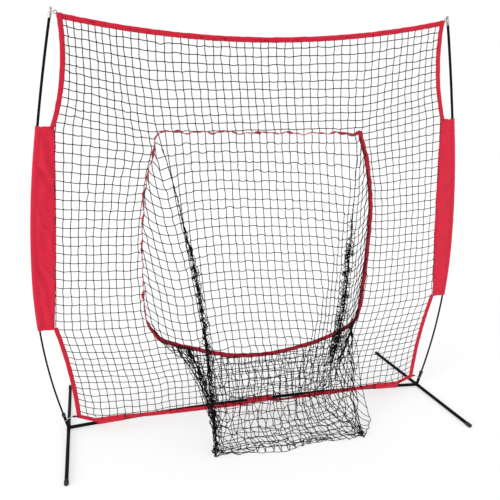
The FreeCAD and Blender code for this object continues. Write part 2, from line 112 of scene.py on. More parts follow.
def shade(red, green, blue):
    """Linear colour from 8-bit display values."""
    def linear(value):
        value /= 255.0
        return value / 12.92 if value <= 0.04045 else ((value + 0.055) / 1.055) ** 2.4
    return (linear(red), linear(green), linear(blue), 1.0)


class Finish:
    """A Principled material whose colour, roughness and bump come from procedural nodes."""

    def __init__(self, name, coordinates="Object", **constants):
        self.material = bpy.data.materials.new(name)
        self.material.use_nodes = True
        self.tree = self.material.node_tree
        self.shader = self.tree.nodes["Principled BSDF"]
        for socket, value in constants.items():
            self.shader.inputs[socket.replace("_", " ")].default_value = value
        self.place = self.node("ShaderNodeTexCoord").outputs[coordinates]
        self.height = None

    def node(self, kind, settings=(), **inputs):
        made = self.tree.nodes.new(kind)
        for key, value in dict(settings).items():
            setattr(made, key, value)
        for key, value in inputs.items():
            self.join(value, made.inputs[key.replace("_", " ")])
        return made

    def join(self, value, socket):
        if isinstance(value, bpy.types.NodeSocket):
            self.tree.links.new(value, socket)
        else:
            socket.default_value = value

    def stretched(self, scale):
        if scale is None:
            return self.place
        return self.node("ShaderNodeMapping", Vector=self.place, Scale=scale).outputs["Vector"]

    def noise(self, scale, detail=3.0, roughness=0.55, stretch=None):
        return self.node("ShaderNodeTexNoise", Vector=self.stretched(stretch), Scale=scale, Detail=detail,
                         Roughness=roughness).outputs["Fac"]

    def wave(self, scale, direction, distortion=0.0, stretch=None):
        return self.node("ShaderNodeTexWave", {"bands_direction": direction}, Vector=self.stretched(stretch),
                         Scale=scale, Distortion=distortion).outputs["Fac"]

    def remap(self, value, low, high, to_low, to_high):
        made = self.node("ShaderNodeMapRange", Value=value)
        for socket, number in zip(list(made.inputs)[1:5], (low, high, to_low, to_high)):
            socket.default_value = number
        return made.outputs["Result"]

    def math(self, operation, first, second):
        made = self.node("ShaderNodeMath", {"operation": operation})
        self.join(first, made.inputs[0])
        self.join(second, made.inputs[1])
        return made.outputs[0]

    def blend(self, factor, first, second):
        made = self.node("ShaderNodeMix", {"data_type": "RGBA"})
        self.join(factor, made.inputs[0])
        self.join(first, made.inputs[6])
        self.join(second, made.inputs[7])
        return made.outputs[2]

    def colour(self, value):
        self.join(value, self.shader.inputs["Base Color"])

    def rough(self, factor, smooth, dull):
        self.join(self.remap(factor, 0.25, 0.75, smooth, dull), self.shader.inputs["Roughness"])

    def bump(self, height, distance, strength=1.0):
        settings = {"Height": height, "Distance": distance, "Strength": strength}
        if self.height is not None:
            settings["Normal"] = self.height
        self.height = self.node("ShaderNodeBump", **settings).outputs["Normal"]
        self.join(self.height, self.shader.inputs["Normal"])


def mottled(name, cloud, tones, gloss, grain, relief, dirt=None, **constants):
    """Material with a cloudy tone and roughness, and grain in relief. No grain means that the cloud is the relief."""
    made = Finish(name, **constants)
    clouds = made.noise(*cloud)
    tone = made.blend(clouds, *tones)
    if dirt:
        cover, colour = dirt
        tone = made.blend(cover(made, clouds), tone, colour)
    made.colour(tone)
    made.rough(clouds, *gloss)
    made.bump(made.noise(*grain) if grain else clouds, *relief)
    return made.material


def scuffs(paint, clouds):
    streaks = paint.noise(60.0, 5.0, 0.7, (1.0, 0.35, 2.5))
    return paint.math("MULTIPLY", paint.remap(streaks, 0.66, 0.74, 0.0, 1.0), 0.2)


def floor_dust(rubber, clouds):
    height = rubber.node("ShaderNodeSeparateXYZ", Vector=rubber.place).outputs["Z"]
    return rubber.math("MULTIPLY", rubber.remap(height, 0.0, 0.012, 0.5, 0.0), clouds)


def dull_patches(pole, clouds):
    return pole.remap(pole.noise(11.0, 3.0), 0.6, 0.75, 0.0, 0.4)


def turned_metal(name, dark, light, smooth, dull):
    """Metal with fine rings from turning or drawing, and faint smudges."""
    metal = Finish(name, Metallic=1.0)
    rings = metal.noise(700.0, 2.0, 0.5, (0.05, 0.05, 1.0))
    smudges = metal.noise(45.0, 4.0)
    metal.colour(metal.blend(rings, dark, light))
    metal.rough(metal.math("MULTIPLY", metal.math("ADD", rings, smudges), 0.5), smooth, dull)
    metal.bump(rings, 0.00006, 0.7)
    return metal.material


def woven(name, deep, bright, thread, relief, weft=1.0, sheen=0.12):
    """Plain-weave cloth on UVs in metres: thread is the spacing of its yarns, relief their height. The gaps between
    the yarns are darkened with painted shade.
    """
    cloth = Finish(name, "UV", Sheen_Weight=sheen, Sheen_Roughness=0.45, Specular_IOR_Level=0.22)
    cycles = BAND / thread
    yarns = cloth.math("MAXIMUM", cloth.wave(cycles, "X", 0.4), cloth.wave(cycles * weft, "Y", 0.4))
    slubs = cloth.noise(240.0, 3.0, 0.6, (1.0, 0.12, 1.0))
    cloud = cloth.noise(7.0, 4.0, 0.6)
    mixed = cloth.math("MULTIPLY", cloth.math("ADD", cloud, slubs), 0.5)
    tone = cloth.blend(cloth.remap(mixed, 0.3, 0.7, 0.0, 1.0), deep, bright)
    # painted shade: the colour darkens in the gaps between the yarns
    yarn_gap_shade = cloth.remap(yarns, 0.35, 0.85, 0.32, 0.0)
    cloth.colour(cloth.blend(yarn_gap_shade, tone, tuple(0.45 * c for c in deep[:3]) + (1.0,)))
    cloth.rough(mixed, 0.74, 0.9)
    cloth.bump(yarns, relief, 0.8)
    cloth.bump(slubs, relief * 0.6, 0.5)
    return cloth.material


def twine(name, deep, bright, strands, lay, relief, sheen=0.3, gloss=0.3):
    """Braided or laid cord on UVs: U runs once round, V along it in metres."""
    cord = Finish(name, "UV", Sheen_Weight=sheen, Sheen_Roughness=0.5, Specular_IOR_Level=gloss)
    braid = cord.math("MAXIMUM", *[cord.wave(1.0, "DIAGONAL", stretch=(way * BAND * strands, 2 * BAND / lay, 0.0))
                                   for way in (2, -2)])
    fuzz = cord.noise(900.0, 3.0, 0.6)
    cord.colour(cord.blend(cord.math("MULTIPLY", braid, fuzz), deep, bright))
    cord.rough(fuzz, 0.62, 0.85)
    cord.bump(braid, relief, 0.9)
    return cord.material


def floor_finish():
    ground = Finish("studio_floor", Specular_IOR_Level=0.1, Roughness=0.9, Emission_Color=(1.0, 1.0, 1.0, 1.0),
                    Emission_Strength=0.55)
    ground.colour(ground.blend(ground.noise(1.3, 2.0), (0.38, 0.38, 0.38, 1), (0.39, 0.39, 0.39, 1)))
    ground.bump(ground.noise(90.0, 2.0), 0.0004, 0.2)
    return ground.material


finishes = {
    "black_steel": mottled(
        "painted_steel", (9.0, 4.0), ((0.0020, 0.0020, 0.0022, 1), (0.0060, 0.0059, 0.0059, 1)), (0.42, 0.6),
        (850.0, 2.0), (0.00012, 0.5), (scuffs, (0.075, 0.073, 0.07, 1)), Specular_IOR_Level=0.05),
    "bare_steel": mottled(
        "bare_steel", (120.0, 3.0, 0.5, (0.06, 1.0, 1.0)), ((0.33, 0.33, 0.34, 1), (0.52, 0.52, 0.53, 1)),
        (0.28, 0.5), None, (0.00008,), Metallic=1.0),
    "rubber_caps": mottled(
        "rubber_caps", (70.0, 5.0, 0.65), ((0.011, 0.011, 0.011, 1), (0.022, 0.021, 0.021, 1)), (0.62, 0.86),
        (1400.0, 2.0), (0.00015, 0.6), (floor_dust, (0.16, 0.15, 0.135, 1)), Specular_IOR_Level=0.3),
    "plastic_collars": mottled(
        "plastic_collars", (30.0, 3.0), ((0.008, 0.008, 0.009, 1), (0.017, 0.017, 0.018, 1)), (0.36, 0.5),
        (1100.0, 2.0), (0.0001, 0.5), Specular_IOR_Level=0.5),
    "fibreglass_pole": mottled(
        "fibreglass_pole", (260.0, 3.0, 0.5, (1.0, 1.0, 0.03)),
        ((0.0012, 0.0012, 0.0013, 1), (0.0045, 0.0045, 0.0045, 1)), (0.4, 0.6),
        None, (0.00015, 0.6), (dull_patches, (0.03, 0.029, 0.028, 1)), Specular_IOR_Level=0.05),
    "black_ring": mottled(
        "black_ring", (160.0, 4.0), ((0.007, 0.006, 0.006, 1), (0.028, 0.022, 0.022, 1)), (0.3, 0.5),
        (1500.0, 2.0), (0.00008, 0.5), Coat_Weight=0.2, Coat_Roughness=0.3),
    "dark_metal_ferrule": turned_metal("dark_metal_ferrule", (0.05, 0.05, 0.052, 1), (0.11, 0.11, 0.112, 1),
                                       0.3, 0.5),
    "bright_tip": turned_metal("bright_tip", (0.24, 0.24, 0.245, 1), (0.46, 0.46, 0.465, 1), 0.2, 0.42),
    "hook_wire": turned_metal("hook_wire", (0.46, 0.46, 0.46, 1), (0.70, 0.70, 0.69, 1), 0.24, 0.44),
    "black_elastic": woven("black_elastic", shade(26, 22, 24), shade(52, 46, 48), 0.0012, 0.0003, 0.6, 0.3),
    "white_cord": twine("white_cord", shade(196, 196, 192), shade(246, 246, 243), 4.0, 0.0035, 0.0004),
    "dark_red_ribbon": woven("dark_red_ribbon", shade(136, 9, 32), shade(178, 20, 48), 0.0014, 0.00035, 0.25, 0.3),
    "red_fabric": woven("red_fabric", shade(190, 22, 47), shade(213, 32, 62), 0.0011, 0.00022),
    "red_tape": woven("red_tape", shade(178, 18, 42), shade(206, 28, 56), 0.0012, 0.0003, 0.35),
    "red_thread": twine("red_thread", shade(140, 8, 30), shade(196, 26, 52), 2.0, 0.0012, 0.0001),
    "black_netting": twine("black_netting", shade(5, 5, 6), shade(24, 24, 26), 4.0, 0.006, 0.0004, 0.0, 0.08),
    "studio_floor": floor_finish(),
}

for subpart in frame["record"]["subparts"]:
    for material_slot in frame["nodes"][subpart["node"]].material_slots:
        material_slot.material = finishes[subpart["material_slot"]]


# ---- mesh helpers

def mesh_object(name, points, faces, finish, uv=None):
    """New object from an array of points and an array, or list of arrays, of faces of equal size."""
    mesh = bpy.data.meshes.new(name)
    groups = faces if isinstance(faces, list) else [faces]
    groups = [np.asarray(group, int) for group in groups if len(group)]
    corners = np.concatenate([group.ravel() for group in groups])
    sizes = np.concatenate([np.full(len(group), group.shape[1]) for group in groups])
    mesh.vertices.add(len(points))
    mesh.vertices.foreach_set("co", np.asarray(points, np.float32).ravel())
    mesh.loops.add(len(corners))
    mesh.loops.foreach_set("vertex_index", corners.astype(np.int32))
    mesh.polygons.add(len(sizes))
    mesh.polygons.foreach_set("loop_start", np.r_[0, np.cumsum(sizes)[:-1]].astype(np.int32))
    mesh.polygons.foreach_set("use_smooth", np.full(len(sizes), True))
    if uv is not None:
        layer = mesh.uv_layers.new(name="UVMap")
        layer.data.foreach_set("uv", np.asarray(uv, np.float32)[corners].ravel())
    mesh.update(calc_edges=True)
    mesh.validate()
    mesh.materials.append(finishes[finish])
    return add(name, mesh)


def unit(vectors):
    """Vectors of length one in the same directions."""
    return vectors / np.maximum(np.linalg.norm(vectors, axis=-1, keepdims=True), 1e-9)


def run_along(points):
    """Distance along each line of points, at each of them."""
    steps = np.linalg.norm(np.diff(points, axis=-2), axis=-1)
    return np.concatenate([np.zeros_like(steps[..., :1]), steps], axis=-1).cumsum(axis=-1)


def grid_uv(u, v):
    """UVs in metres of a grid of points, from the distances along its two directions."""
    return np.stack(np.broadcast_arrays(u, v), axis=-1).reshape(-1, 2)


def grid_faces(rows, columns, close_rows=False, close_columns=False):
    """Quads of a grid of points numbered along its columns first."""
    index = np.arange(rows * columns).reshape(rows, columns)
    if close_rows:
        index = np.concatenate([index, index[:1]], axis=0)
    if close_columns:
        index = np.concatenate([index, index[:, :1]], axis=1)
    return np.stack([index[:-1, :-1], index[:-1, 1:], index[1:, 1:], index[1:, :-1]], axis=-1).reshape(-1, 4)


def tubes(paths, radius, sides=4):
    """Capped tubes along runs of points of equal length: points, faces and UVs."""
    paths = np.asarray(paths, float)
    runs, stations = paths.shape[:2]
    ahead = unit(np.gradient(paths, axis=1))
    general = unit(paths[:, -1:] - paths[:, :1])
    lean = np.where(np.abs(general[..., 2:]) > 0.8, np.array([0.0, 1.0, 0.0]), UP)
    across = unit(np.cross(ahead, lean))
    over = np.cross(across, ahead)
    angles = -np.arange(sides) * math.tau / sides
    ring = np.cos(angles)[:, None] * across[:, :, None] + np.sin(angles)[:, None] * over[:, :, None]
    points = paths[:, :, None] + np.asarray(radius) * ring
    walls = grid_faces(stations, sides, close_columns=True)
    caps = np.array([range(sides - 1, -1, -1), range((stations - 1) * sides, stations * sides)])
    offsets = np.arange(runs) * stations * sides
    along = run_along(paths)
    faces = [(group[None] + offsets[:, None, None]).reshape(-1, group.shape[1]) for group in (walls, caps)]
    return points.reshape(-1, 3), faces, grid_uv(np.arange(sides) / sides, along[:, :, None])


def merged(*pieces):
    """Several (points, faces, uv) sets as one."""
    points, faces, uvs, count = [], [], [], 0
    for piece_points, piece_faces, piece_uv in pieces:
        points.append(piece_points)
        uvs.append(piece_uv)
        for group in piece_faces if isinstance(piece_faces, list) else [piece_faces]:
            faces.append(np.asarray(group) + count)
        count += len(piece_points)
    return np.concatenate(points), faces, np.concatenate(uvs)


def smooth_run(points, stations):
    """Points read from a NURBS curve through the given control points."""
    data = bpy.data.curves.new("run", "CURVE")
    data.dimensions = "3D"
    data.resolution_u = 16
    spline = data.splines.new("NURBS")
    spline.points.add(len(points) - 1)
    for control, point in zip(spline.points, points):
        control.co = (*point, 1.0)
    spline.order_u = 3
    spline.use_endpoint_u = True
    holder = bpy.data.objects.new("run", data)
    mesh = bpy.data.meshes.new_from_object(holder)
    line = np.array([vertex.co for vertex in mesh.vertices])
    bpy.data.meshes.remove(mesh)
    bpy.data.objects.remove(holder)
    bpy.data.curves.remove(data)
    return resampled(line, stations)


def resampled(line, stations):
    """The line again, as evenly spaced points."""
    steps = run_along(line)
    wanted = np.linspace(0, steps[-1], stations)
    return np.stack([np.interp(wanted, steps, line[:, axis]) for axis in range(3)], axis=1)


def settle(piece, nodes=()):
    """The piece rides with the frame and stands for its nodes."""
    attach(piece, BODY)
    if nodes:
        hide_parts(*nodes)
    return piece


THREAD_R = 0.00038
STITCH = ((-0.5, -0.3), (-0.25, 0.7), (0.25, 0.7), (0.5, -0.3))    # shares of its length along, of THREAD_R outward


def stitches(name, lines, out, spacing=0.0042, length=0.0030):
    """Thread stitches along lines of points, standing on the cloth on the side that out points to."""
    starts, ends = [], []
    for line in lines:
        count = max(int(run_along(line)[-1] / spacing), 2)
        fine = resampled(np.asarray(line), count * 2)
        starts.append(fine[0::2])
        ends.append(fine[1::2])
    starts, ends = np.concatenate(starts), np.concatenate(ends)
    middle, ahead = (starts + ends) / 2, unit(ends - starts)
    out = np.broadcast_to(unit(np.asarray(out, float)), middle.shape)
    paths = [middle + ahead * length * share + out * (lift * THREAD_R) for share, lift in STITCH]
    points, faces, uv = tubes(np.stack(paths, axis=1), THREAD_R)
    return settle(mesh_object(name, points, faces, "red_thread", uv))


# ---- netting

CELL = 0.0445                # knot to knot
TWINE_R, KNOT_R = 0.0020, 0.0031
NET_Y = -0.0106              # plane of the main net
COLUMNS, ROWS = 50, 49
ROW_STOPS, ROW_HEIGHTS = (0, 12, 38, 49), (2.086, 1.636, 0.476, 0.086)   # rows sit closer at the top and bottom
MIDDLE_COLUMNS = 13.5        # columns from the middle to the jamb
LINTEL_Z = 1.566
KNOT_SCATTER = 0.0016        # unevenness of the knots in their plane
TOP_DRIFT = 0.055            # the columns above the opening lean left
# Edge of the opening as (x, z), going right along the top, down, left and up again. The net hangs unevenly:
# the upper edge drops to the right, and the lower right corner is the fuller one.
opening_line = np.array((
    (0.0, 1.566), (0.540, 1.553), (0.576, 1.465), (0.609, 1.350), (0.632, 1.230), (0.642, 1.105), (0.643, 0.980),
    (0.640, 0.850), (0.634, 0.700), (0.628, 0.580), (0.612, 0.512), (0.571, 0.468), (0.503, 0.431), (0.418, 0.402),
    (0.333, 0.378), (0.170, 0.348), (0.020, 0.338), (-0.125, 0.350), (-0.250, 0.380), (-0.375, 0.422),
    (-0.460, 0.452), (-0.525, 0.480), (-0.572, 0.520), (-0.608, 0.575), (-0.627, 0.650), (-0.630, 0.780),
    (-0.629, 0.960), (-0.624, 1.100), (-0.606, 1.280), (-0.581, 1.393), (-0.552, 1.492), (-0.526, 1.583),
    (0.0, 1.566)))
opening_run = run_along(opening_line)
opening_length = opening_run[-1]


def opening_at(distance):
    """Points (x, z) on the opening's edge, going right along the top, down, left, and up again."""
    distance = np.asarray(distance) % opening_length
    return np.stack([np.interp(distance, opening_run, opening_line[:, axis]) for axis in (0, 1)], axis=-1)


def ripple(distance):
    """Small waves of the opening's edge, outward positive: larger along the top and the left."""
    distance = np.asarray(distance) % opening_length
    place = opening_at(distance)
    top = np.clip((place[..., 1] - 1.50) / 0.06, 0, 1)
    left = np.clip((-place[..., 0] - 0.45) / 0.1, 0, 1)
    waves = np.sin(distance * 47.0 + 1.0) + 0.7 * np.sin(distance * 93.0 + 2.2) + 0.5 * np.sin(distance * 21.0)
    return (0.0012 + 0.0030 * top + 0.0012 * left) * waves


def edge_at(distance):
    """The opening's rippled edge as (x, z)."""
    place, ahead = opening_at(distance), opening_at(np.asarray(distance) + 0.004)
    along = unit(ahead - place)
    outward = np.stack([-along[..., 1], along[..., 0]], axis=-1)
    return place + outward * ripple(distance)[..., None]


def in_opening(x, z):
    """A line that goes right from a point inside the opening crosses its edge an odd number of times."""
    (ax, az), (bx, bz) = opening_line[:-1].T, opening_line[1:].T
    return np.count_nonzero(((az > z) != (bz > z)) & (x < (bx - ax) * (z - az) / (bz - az) + ax)) % 2 == 1


def cross_flat(a, b):
    return a[..., 0] * b[..., 1] - a[..., 1] * b[..., 0]


def opening_crossing(first, last):
    """Distance along the opening's edge at which a straight cord crosses it."""
    step, sides, offsets = last - first, np.diff(opening_line, axis=0), opening_line[:-1] - first
    spread = cross_flat(step, sides)
    along, share = cross_flat(offsets, sides) / spread, cross_flat(offsets, step) / spread
    k = np.flatnonzero((along >= -1e-9) & (along <= 1 + 1e-9) & (share >= 0) & (share <= 1))[-1]
    return opening_run[k] + share[k] * (opening_run[k + 1] - opening_run[k])


def table(stops, values):
    """Function that interpolates between the values at some stops."""
    return lambda at: np.interp(at, stops, values)


def net_top(x):
    return 1.996 + 0.09 * (x / 0.96) ** 2


def hem_z(x):
    """Middle of the bottom hem: nearly level along the bar, rising to the corners."""
    return hem_course(np.abs(x))


hem_course = table((0, 0.5, 0.70, 0.76, 0.922, 1.026), (0.0345, 0.0372, 0.0435, 0.0465, 0.0425, 0.0860))
# Half width of the netting at a height
net_side = table((0.086, 0.150, 0.290, 0.440, 0.604, 1.619, 1.740, 1.860, 1.980, 2.098),
                 (1.014, 1.012, 1.026, 1.050, 1.092, 1.008, 0.972, 0.952, 0.946, 0.950))
# Where the column that runs down the opening's side stands at a height
jamb_x = table((0.05, 0.25, 0.45, 0.60, 0.75, 0.95, 1.12, 1.29, 1.43, 1.566, 2.1),
               (0.520, 0.530, 0.582, 0.616, 0.633, 0.635, 0.624, 0.600, 0.572, 0.537, 0.527))
drift_share = table((-0.95, -0.6, 0.1, 0.7), (0, 1, 1, 0))
# How far a row hangs below its ends, at the height of its ends
row_sag = table((0.086, 0.4, 1.1, 1.3, 1.5, 1.66, 2.086), (0.03, 0.034, 0.02, 0.035, 0.06, 0.09, 0.088))
free_share = table((0, 0.14, 0.90, 1.0), (0, 1, 1, 0))    # 0 at the net's top and bottom edges


class Net:
    """Knots joined by cords. A cord never gets longer than its length, nor its ends nearer than its least."""

    def __init__(self):
        self.places, self.held, self.weights = [], [], []
        self.ends, self.lengths, self.least, self.parts = [], [], [], []

    def knot(self, place, held=False, weight=1.0):
        self.places.append([float(value) for value in place])
        self.held.append(held)
        self.weights.append(weight)
        return len(self.places) - 1

    def gap(self, first, last):
        return float(np.linalg.norm(np.subtract(self.places[first], self.places[last])))

    def cord(self, first, last, length, part, least=0.0):
        self.ends.append((first, last))
        self.lengths.append(length)
        self.least.append(least)
        self.parts.append(part)

    def slack_cord(self, first, last, part):
        gap = self.gap(first, last)
        self.cord(first, last, max(gap * 1.03, 0.004), part, gap * 0.4)


def knot_place(column, side_z):
    """(x, z) of a knot in a column counted from the middle, on the row that meets the net's side at a height."""
    down = (ROW_HEIGHTS[0] - side_z) / (ROW_HEIGHTS[0] - ROW_HEIGHTS[-1])
    jamb = jamb_x(side_z)
    beyond = max(abs(column) - MIDDLE_COLUMNS, 0) / (COLUMNS / 2 - MIDDLE_COLUMNS)
    reach = min(abs(column) / MIDDLE_COLUMNS, 1) * jamb + beyond * (net_side(side_z) - jamb)
    x = math.copysign(reach, column)
    x -= TOP_DRIFT * np.clip((side_z - LINTEL_Z) / 0.43, 0, 1) * drift_share(x)
    pulled = side_z - row_sag(side_z) * (1 - np.clip((abs(x) - 0.54) / 0.42, 0, 1))
    hung = net_top(x) + (hem_z(x) - net_top(x)) * down
    share = free_share(down)
    return x, pulled * share + hung * (1 - share)


def main_net(net):
    """Square mesh drawn to the net's edges, cut at the opening. Gives the crossings of each column."""
    rows = np.interp(range(ROWS + 1), ROW_STOPS, ROW_HEIGHTS)
    places = np.array([[knot_place(i - COLUMNS / 2, side_z) for side_z in rows] for i in range(COLUMNS + 1)])
    inside = np.array([[in_opening(*place) for place in column] for column in places])
    knots, crossings = {}, {}
    for i, j in np.argwhere(~inside):
        x, z = places[i, j]
        border = i in (0, COLUMNS) or j in (0, ROWS)
        if not border:
            x, z = x + random.normal(0, KNOT_SCATTER), z + random.normal(0, KNOT_SCATTER)
        knots[i, j] = net.knot((x, NET_Y, z), border, 0.12)

    def link(first, last, column=None):
        if inside[first] and inside[last]:
            return
        if not inside[first] and not inside[last]:
            ends = knots[first], knots[last]
            net.cord(*ends, net.gap(*ends) * (1.001 + 0.006 * random.random()), "main_net")
            return
        distance = opening_crossing(places[first], places[last])
        x, z = edge_at(distance)
        loop = net.knot((x, NET_Y, z), True)
        outer = knots[first] if not inside[first] else knots[last]
        net.cord(outer, loop, net.gap(outer, loop) * 1.002, "main_net")
        if column is not None:
            crossings.setdefault(column, []).append((z, loop, distance))

    for i, j in itertools.product(range(COLUMNS + 1), range(ROWS)):
        link((i, j), (i, j + 1), i)
    for j, i in itertools.product(range(ROWS + 1), range(COLUMNS)):
        link((i, j), (i + 1, j))
    return [sorted(found) for column, found in sorted(crossings.items())
            if len(found) == 2 and max(found)[0] > LINTEL_Z - 0.02]


# Gathered seams of the pocket, as (z, x) from the floor up
LEFT_SEAM = ((0.0, -0.340), (0.35, -0.340), (0.53, -0.344), (0.67, -0.353), (0.82, -0.365), (1.0, -0.388),
             (1.18, -0.426), (1.34, -0.456), (1.48, -0.496), (1.566, -0.526))
RIGHT_SEAM = ((0.0, 0.480), (0.11, 0.380), (0.24, 0.290), (0.35, 0.285), (0.49, 0.342), (0.61, 0.382), (0.76, 0.420),
              (0.89, 0.447), (1.09, 0.476), (1.34, 0.511), (1.42, 0.519), (1.566, 0.536))
FRONT_ROWS, BACK_ROWS = 39, 14
SNUG_ROWS, SNUG_Z = 25, 0.50  # rows of the front panel that hang straight, and how low they reach
PANEL_LEAN = 0.147           # the front panel's columns drift right as they go down
PANEL_TILT = 0.085           # and its rows drop to the right
SILL_INSET = 0.235           # the pocket's floor starts this far from the corner of the opening
SEAM_DIP = 0.070             # the rows are pulled down where the panel meets its seams
POCKET_REACH = 0.405
GATHER = 0.005               # spacing of the columns that are bunched along a seam
FLOOR_CLEAR = 0.0035
EVEN_SHARE = 0.35            # how far the columns are spread evenly between the seams
FOLD_LEFT, FOLD_WIDTH = -0.322, 0.778     # the pocket's fold on the floor
FOLD_GATHER = 0.006          # spacing of the columns that are bunched at the fold's ends
SPREAD_BELOW = 0.30          # height from which the columns spread toward the fold
SEWN_BACK = 0.001            # the pocket is sewn on this far from the net's plane, on the pocket's side
JAMB_ROWS = 25               # rows of a pocket's side that keep their full height at the opening's edge
GATHERED_FROM = 28           # rows of the left side below this one are bunched along the seam
GATHERED_SCATTER = np.array((0.014, 0.012, 0.010))


def seam_x(seam, z):
    return float(np.interp(z, *np.array(seam).T))


# Borders of the pocket's floor, as shares of the way and places, up to the opening's corner. The left one is
# gathered up the seam first. The right one lies on the floor for a hand's width, then climbs.
LEFT_BORDER = (0.0, 0.3, 0.55, 0.70, 0.84), (
    (-0.342, -0.414, 0.004), (-0.348, -0.372, 0.150), (-0.354, -0.315, 0.270), (-0.360, -0.235, 0.345),
    (-0.380, -0.130, 0.385))
RIGHT_BORDER = (0.0, 0.35, 0.50, 0.64, 0.84), (
    (0.480, -0.424, 0.004), (0.592, -0.275, 0.006), (0.572, -0.235, 0.110), (0.562, -0.190, 0.210),
    (0.578, -0.100, 0.380))


def on_border(border, share, end):
    stops, course = border
    return np.array([np.interp(share, stops + (1.0,), axis) for axis in zip(*course, end)])


# How far forward the pocket's fold lies on the floor
foot_y = table((-0.34, -0.245, -0.067, 0.022, 0.17, 0.26, 0.39, 0.48),
               (-0.414, -0.398, -0.436, -0.450, -0.415, -0.404, -0.385, -0.424))


def pocket_panel(net, columns):
    """The long panel: down from the opening's upper edge, along the floor and up to the lower edge."""
    count, rows = len(columns), FRONT_ROWS + BACK_ROWS
    panel = np.zeros((count, rows + 1), int)
    sill = np.linspace(columns[0][0][2] - SILL_INSET, columns[-1][0][2], count)
    for k, column in enumerate(columns):
        end_x, end_z = edge_at(sill[k])
        panel[k, 0], panel[k, rows] = column[-1][1], net.knot((end_x, NET_Y - SEWN_BACK, end_z), True)
        top_x = net.places[column[-1][1]][0]
        bunch = min(k, 3) - min(count - 1 - k, 4)
        foot_x = FOLD_LEFT + FOLD_GATHER * bunch + FOLD_WIDTH * np.clip((k - 3) / (count - 8), 0, 1)
        for r in range(1, rows):
            if r < FRONT_ROWS:
                place = front_place(r, k, count, top_x, foot_x)
            elif r == FRONT_ROWS:
                place = foot_x, foot_y(foot_x), 0.004
            else:
                place = floor_place((r - FRONT_ROWS) / BACK_ROWS, k, count, foot_x, end_x, end_z)
            panel[k, r] = net.knot(place, r == FRONT_ROWS or k in (0, count - 1))
    for r in range(rows):
        part = "pocket_front" if r < FRONT_ROWS else "pocket_bottom"
        for k in range(count):
            ends = panel[k, r], panel[k, r + 1]
            reach = net.gap(*ends)
            slack = CELL * (1 + 0.03 * random.random())
            snug = r < SNUG_ROWS
            length = reach * (1.002 + 0.006 * random.random()) if snug else max(slack, reach * (r == rows - 1))
            net.cord(*ends, length, part, 0.012 if snug else 0.85 * reach)
        for k in range(count - 1 if r else 0):
            ends = panel[k, r], panel[k + 1, r]
            gap = net.gap(*ends)
            length = gap if gap > CELL else min(CELL * (0.99 + 0.03 * random.random()), max(gap * 1.15, 0.006))
            net.cord(*ends, length, part, min(gap, length) * 0.5)
    return panel, sill[0]


def front_place(r, k, count, top_x, foot_x):
    """Start of a knot in the hanging part: it leans with its column, between the two gathered seams."""
    z = float(np.interp(r, (0, SNUG_ROWS, FRONT_ROWS), (LINTEL_Z, SNUG_Z, 0.006)))
    y = NET_Y - 0.002 - POCKET_REACH * (1 - z / LINTEL_Z) ** 1.12
    leftmost = seam_x(LEFT_SEAM, z) + GATHER * k
    rightmost = seam_x(RIGHT_SEAM, z) - 1.6 * GATHER * (count - 1 - k)
    x = min(max(top_x + PANEL_LEAN * (LINTEL_Z - z), leftmost), rightmost)
    x = (1 - EVEN_SHARE) * x + EVEN_SHARE * (leftmost + (rightmost - leftmost) * k / (count - 1))
    spread = float(np.clip((SPREAD_BELOW - z) / SPREAD_BELOW, 0, 1))
    x = x * (1 - spread) + foot_x * spread
    dip = SEAM_DIP * math.exp(-(x - leftmost) / 0.10) + 0.5 * SEAM_DIP * math.exp(-(rightmost - x) / 0.08)
    return x, y, max(z - (PANEL_TILT * x + dip) * min(r / 4, 1, z / SPREAD_BELOW), 0.006)


def floor_place(share, k, count, foot_x, end_x, end_z):
    """Start of a knot between the fold and the opening's lower edge, drawn to the borders at the sides."""
    z = max(0.006 * (1 - share) + end_z * share - 0.04 * math.sin(math.pi * share), 0.005)
    place = np.array((foot_x * (1 - share) + end_x * share, NET_Y - 0.002 - POCKET_REACH * (1 - share), z))
    near_left, near_right = math.exp(-k / 0.9), math.exp(-(count - 1 - k) / 0.5)
    end = (end_x, NET_Y, end_z)
    sides = on_border(LEFT_BORDER, share, end) * near_left + on_border(RIGHT_BORDER, share, end) * near_right
    x, y, z = place * (1 - near_left - near_right) + sides
    return x, y, max(z, 0.005)


def pocket_side(net, spine, start, stop, part):
    """Side of the pocket: fans from the panel's gathered seam to the opening's edge, cut to fit it."""
    rows, left = len(spine) - 1, part == "pocket_left_side"
    straight = JAMB_ROWS * CELL * math.copysign(1, stop - start)
    before, upper_loop = [], spine[0]
    for r in range(1, rows):
        gathered = left and r > GATHERED_FROM
        if (gathered and r % 7) or (not left and (r > FRONT_ROWS or (r > GATHERED_FROM and r % 3))):
            continue     # the seam's own cords stand for most of the rows that are bunched in it
        share = (max(r - JAMB_ROWS, 0) / (rows - JAMB_ROWS)) ** (0.22 if left else 1.0)
        x, z = edge_at(start + straight * min(r, JAMB_ROWS) / JAMB_ROWS + (stop - start - straight) * share)
        edge = (x, NET_Y - SEWN_BACK, z)
        way = [spine[r]]
        if gathered:
            way += spine[r:GATHERED_FROM:-1] if r <= FRONT_ROWS else []
            way += spine[FRONT_ROWS + 8 if r <= FRONT_ROWS else r:rows]
        course = np.array([net.places[knot] for knot in way] + [edge])
        length = run_along(course)[-1]
        count = int(length / CELL)
        line = resampled(course, 81)
        chain = [spine[r]]
        for g in range(1, count + 1):
            share = g * CELL / max(length, CELL * count + 0.004)
            place = line[int(round(share * 80))].copy()
            if gathered:
                place += random.normal(0, 1, 3) * GATHERED_SCATTER
            else:
                place[2] -= 0.03 * math.sin(math.pi * share)
            place[2] = max(place[2], 0.005)
            chain.append(net.knot(place, gathered))
        loop = net.knot(edge, True)
        for ends in zip(chain, chain[1:] + [loop]):
            net.slack_cord(*ends, part)
        for g in range(1, max(len(chain), len(before))):
            net.slack_cord(before[g] if g < len(before) else upper_loop, chain[g] if g < len(chain) else loop, part)
        before, upper_loop = chain, loop


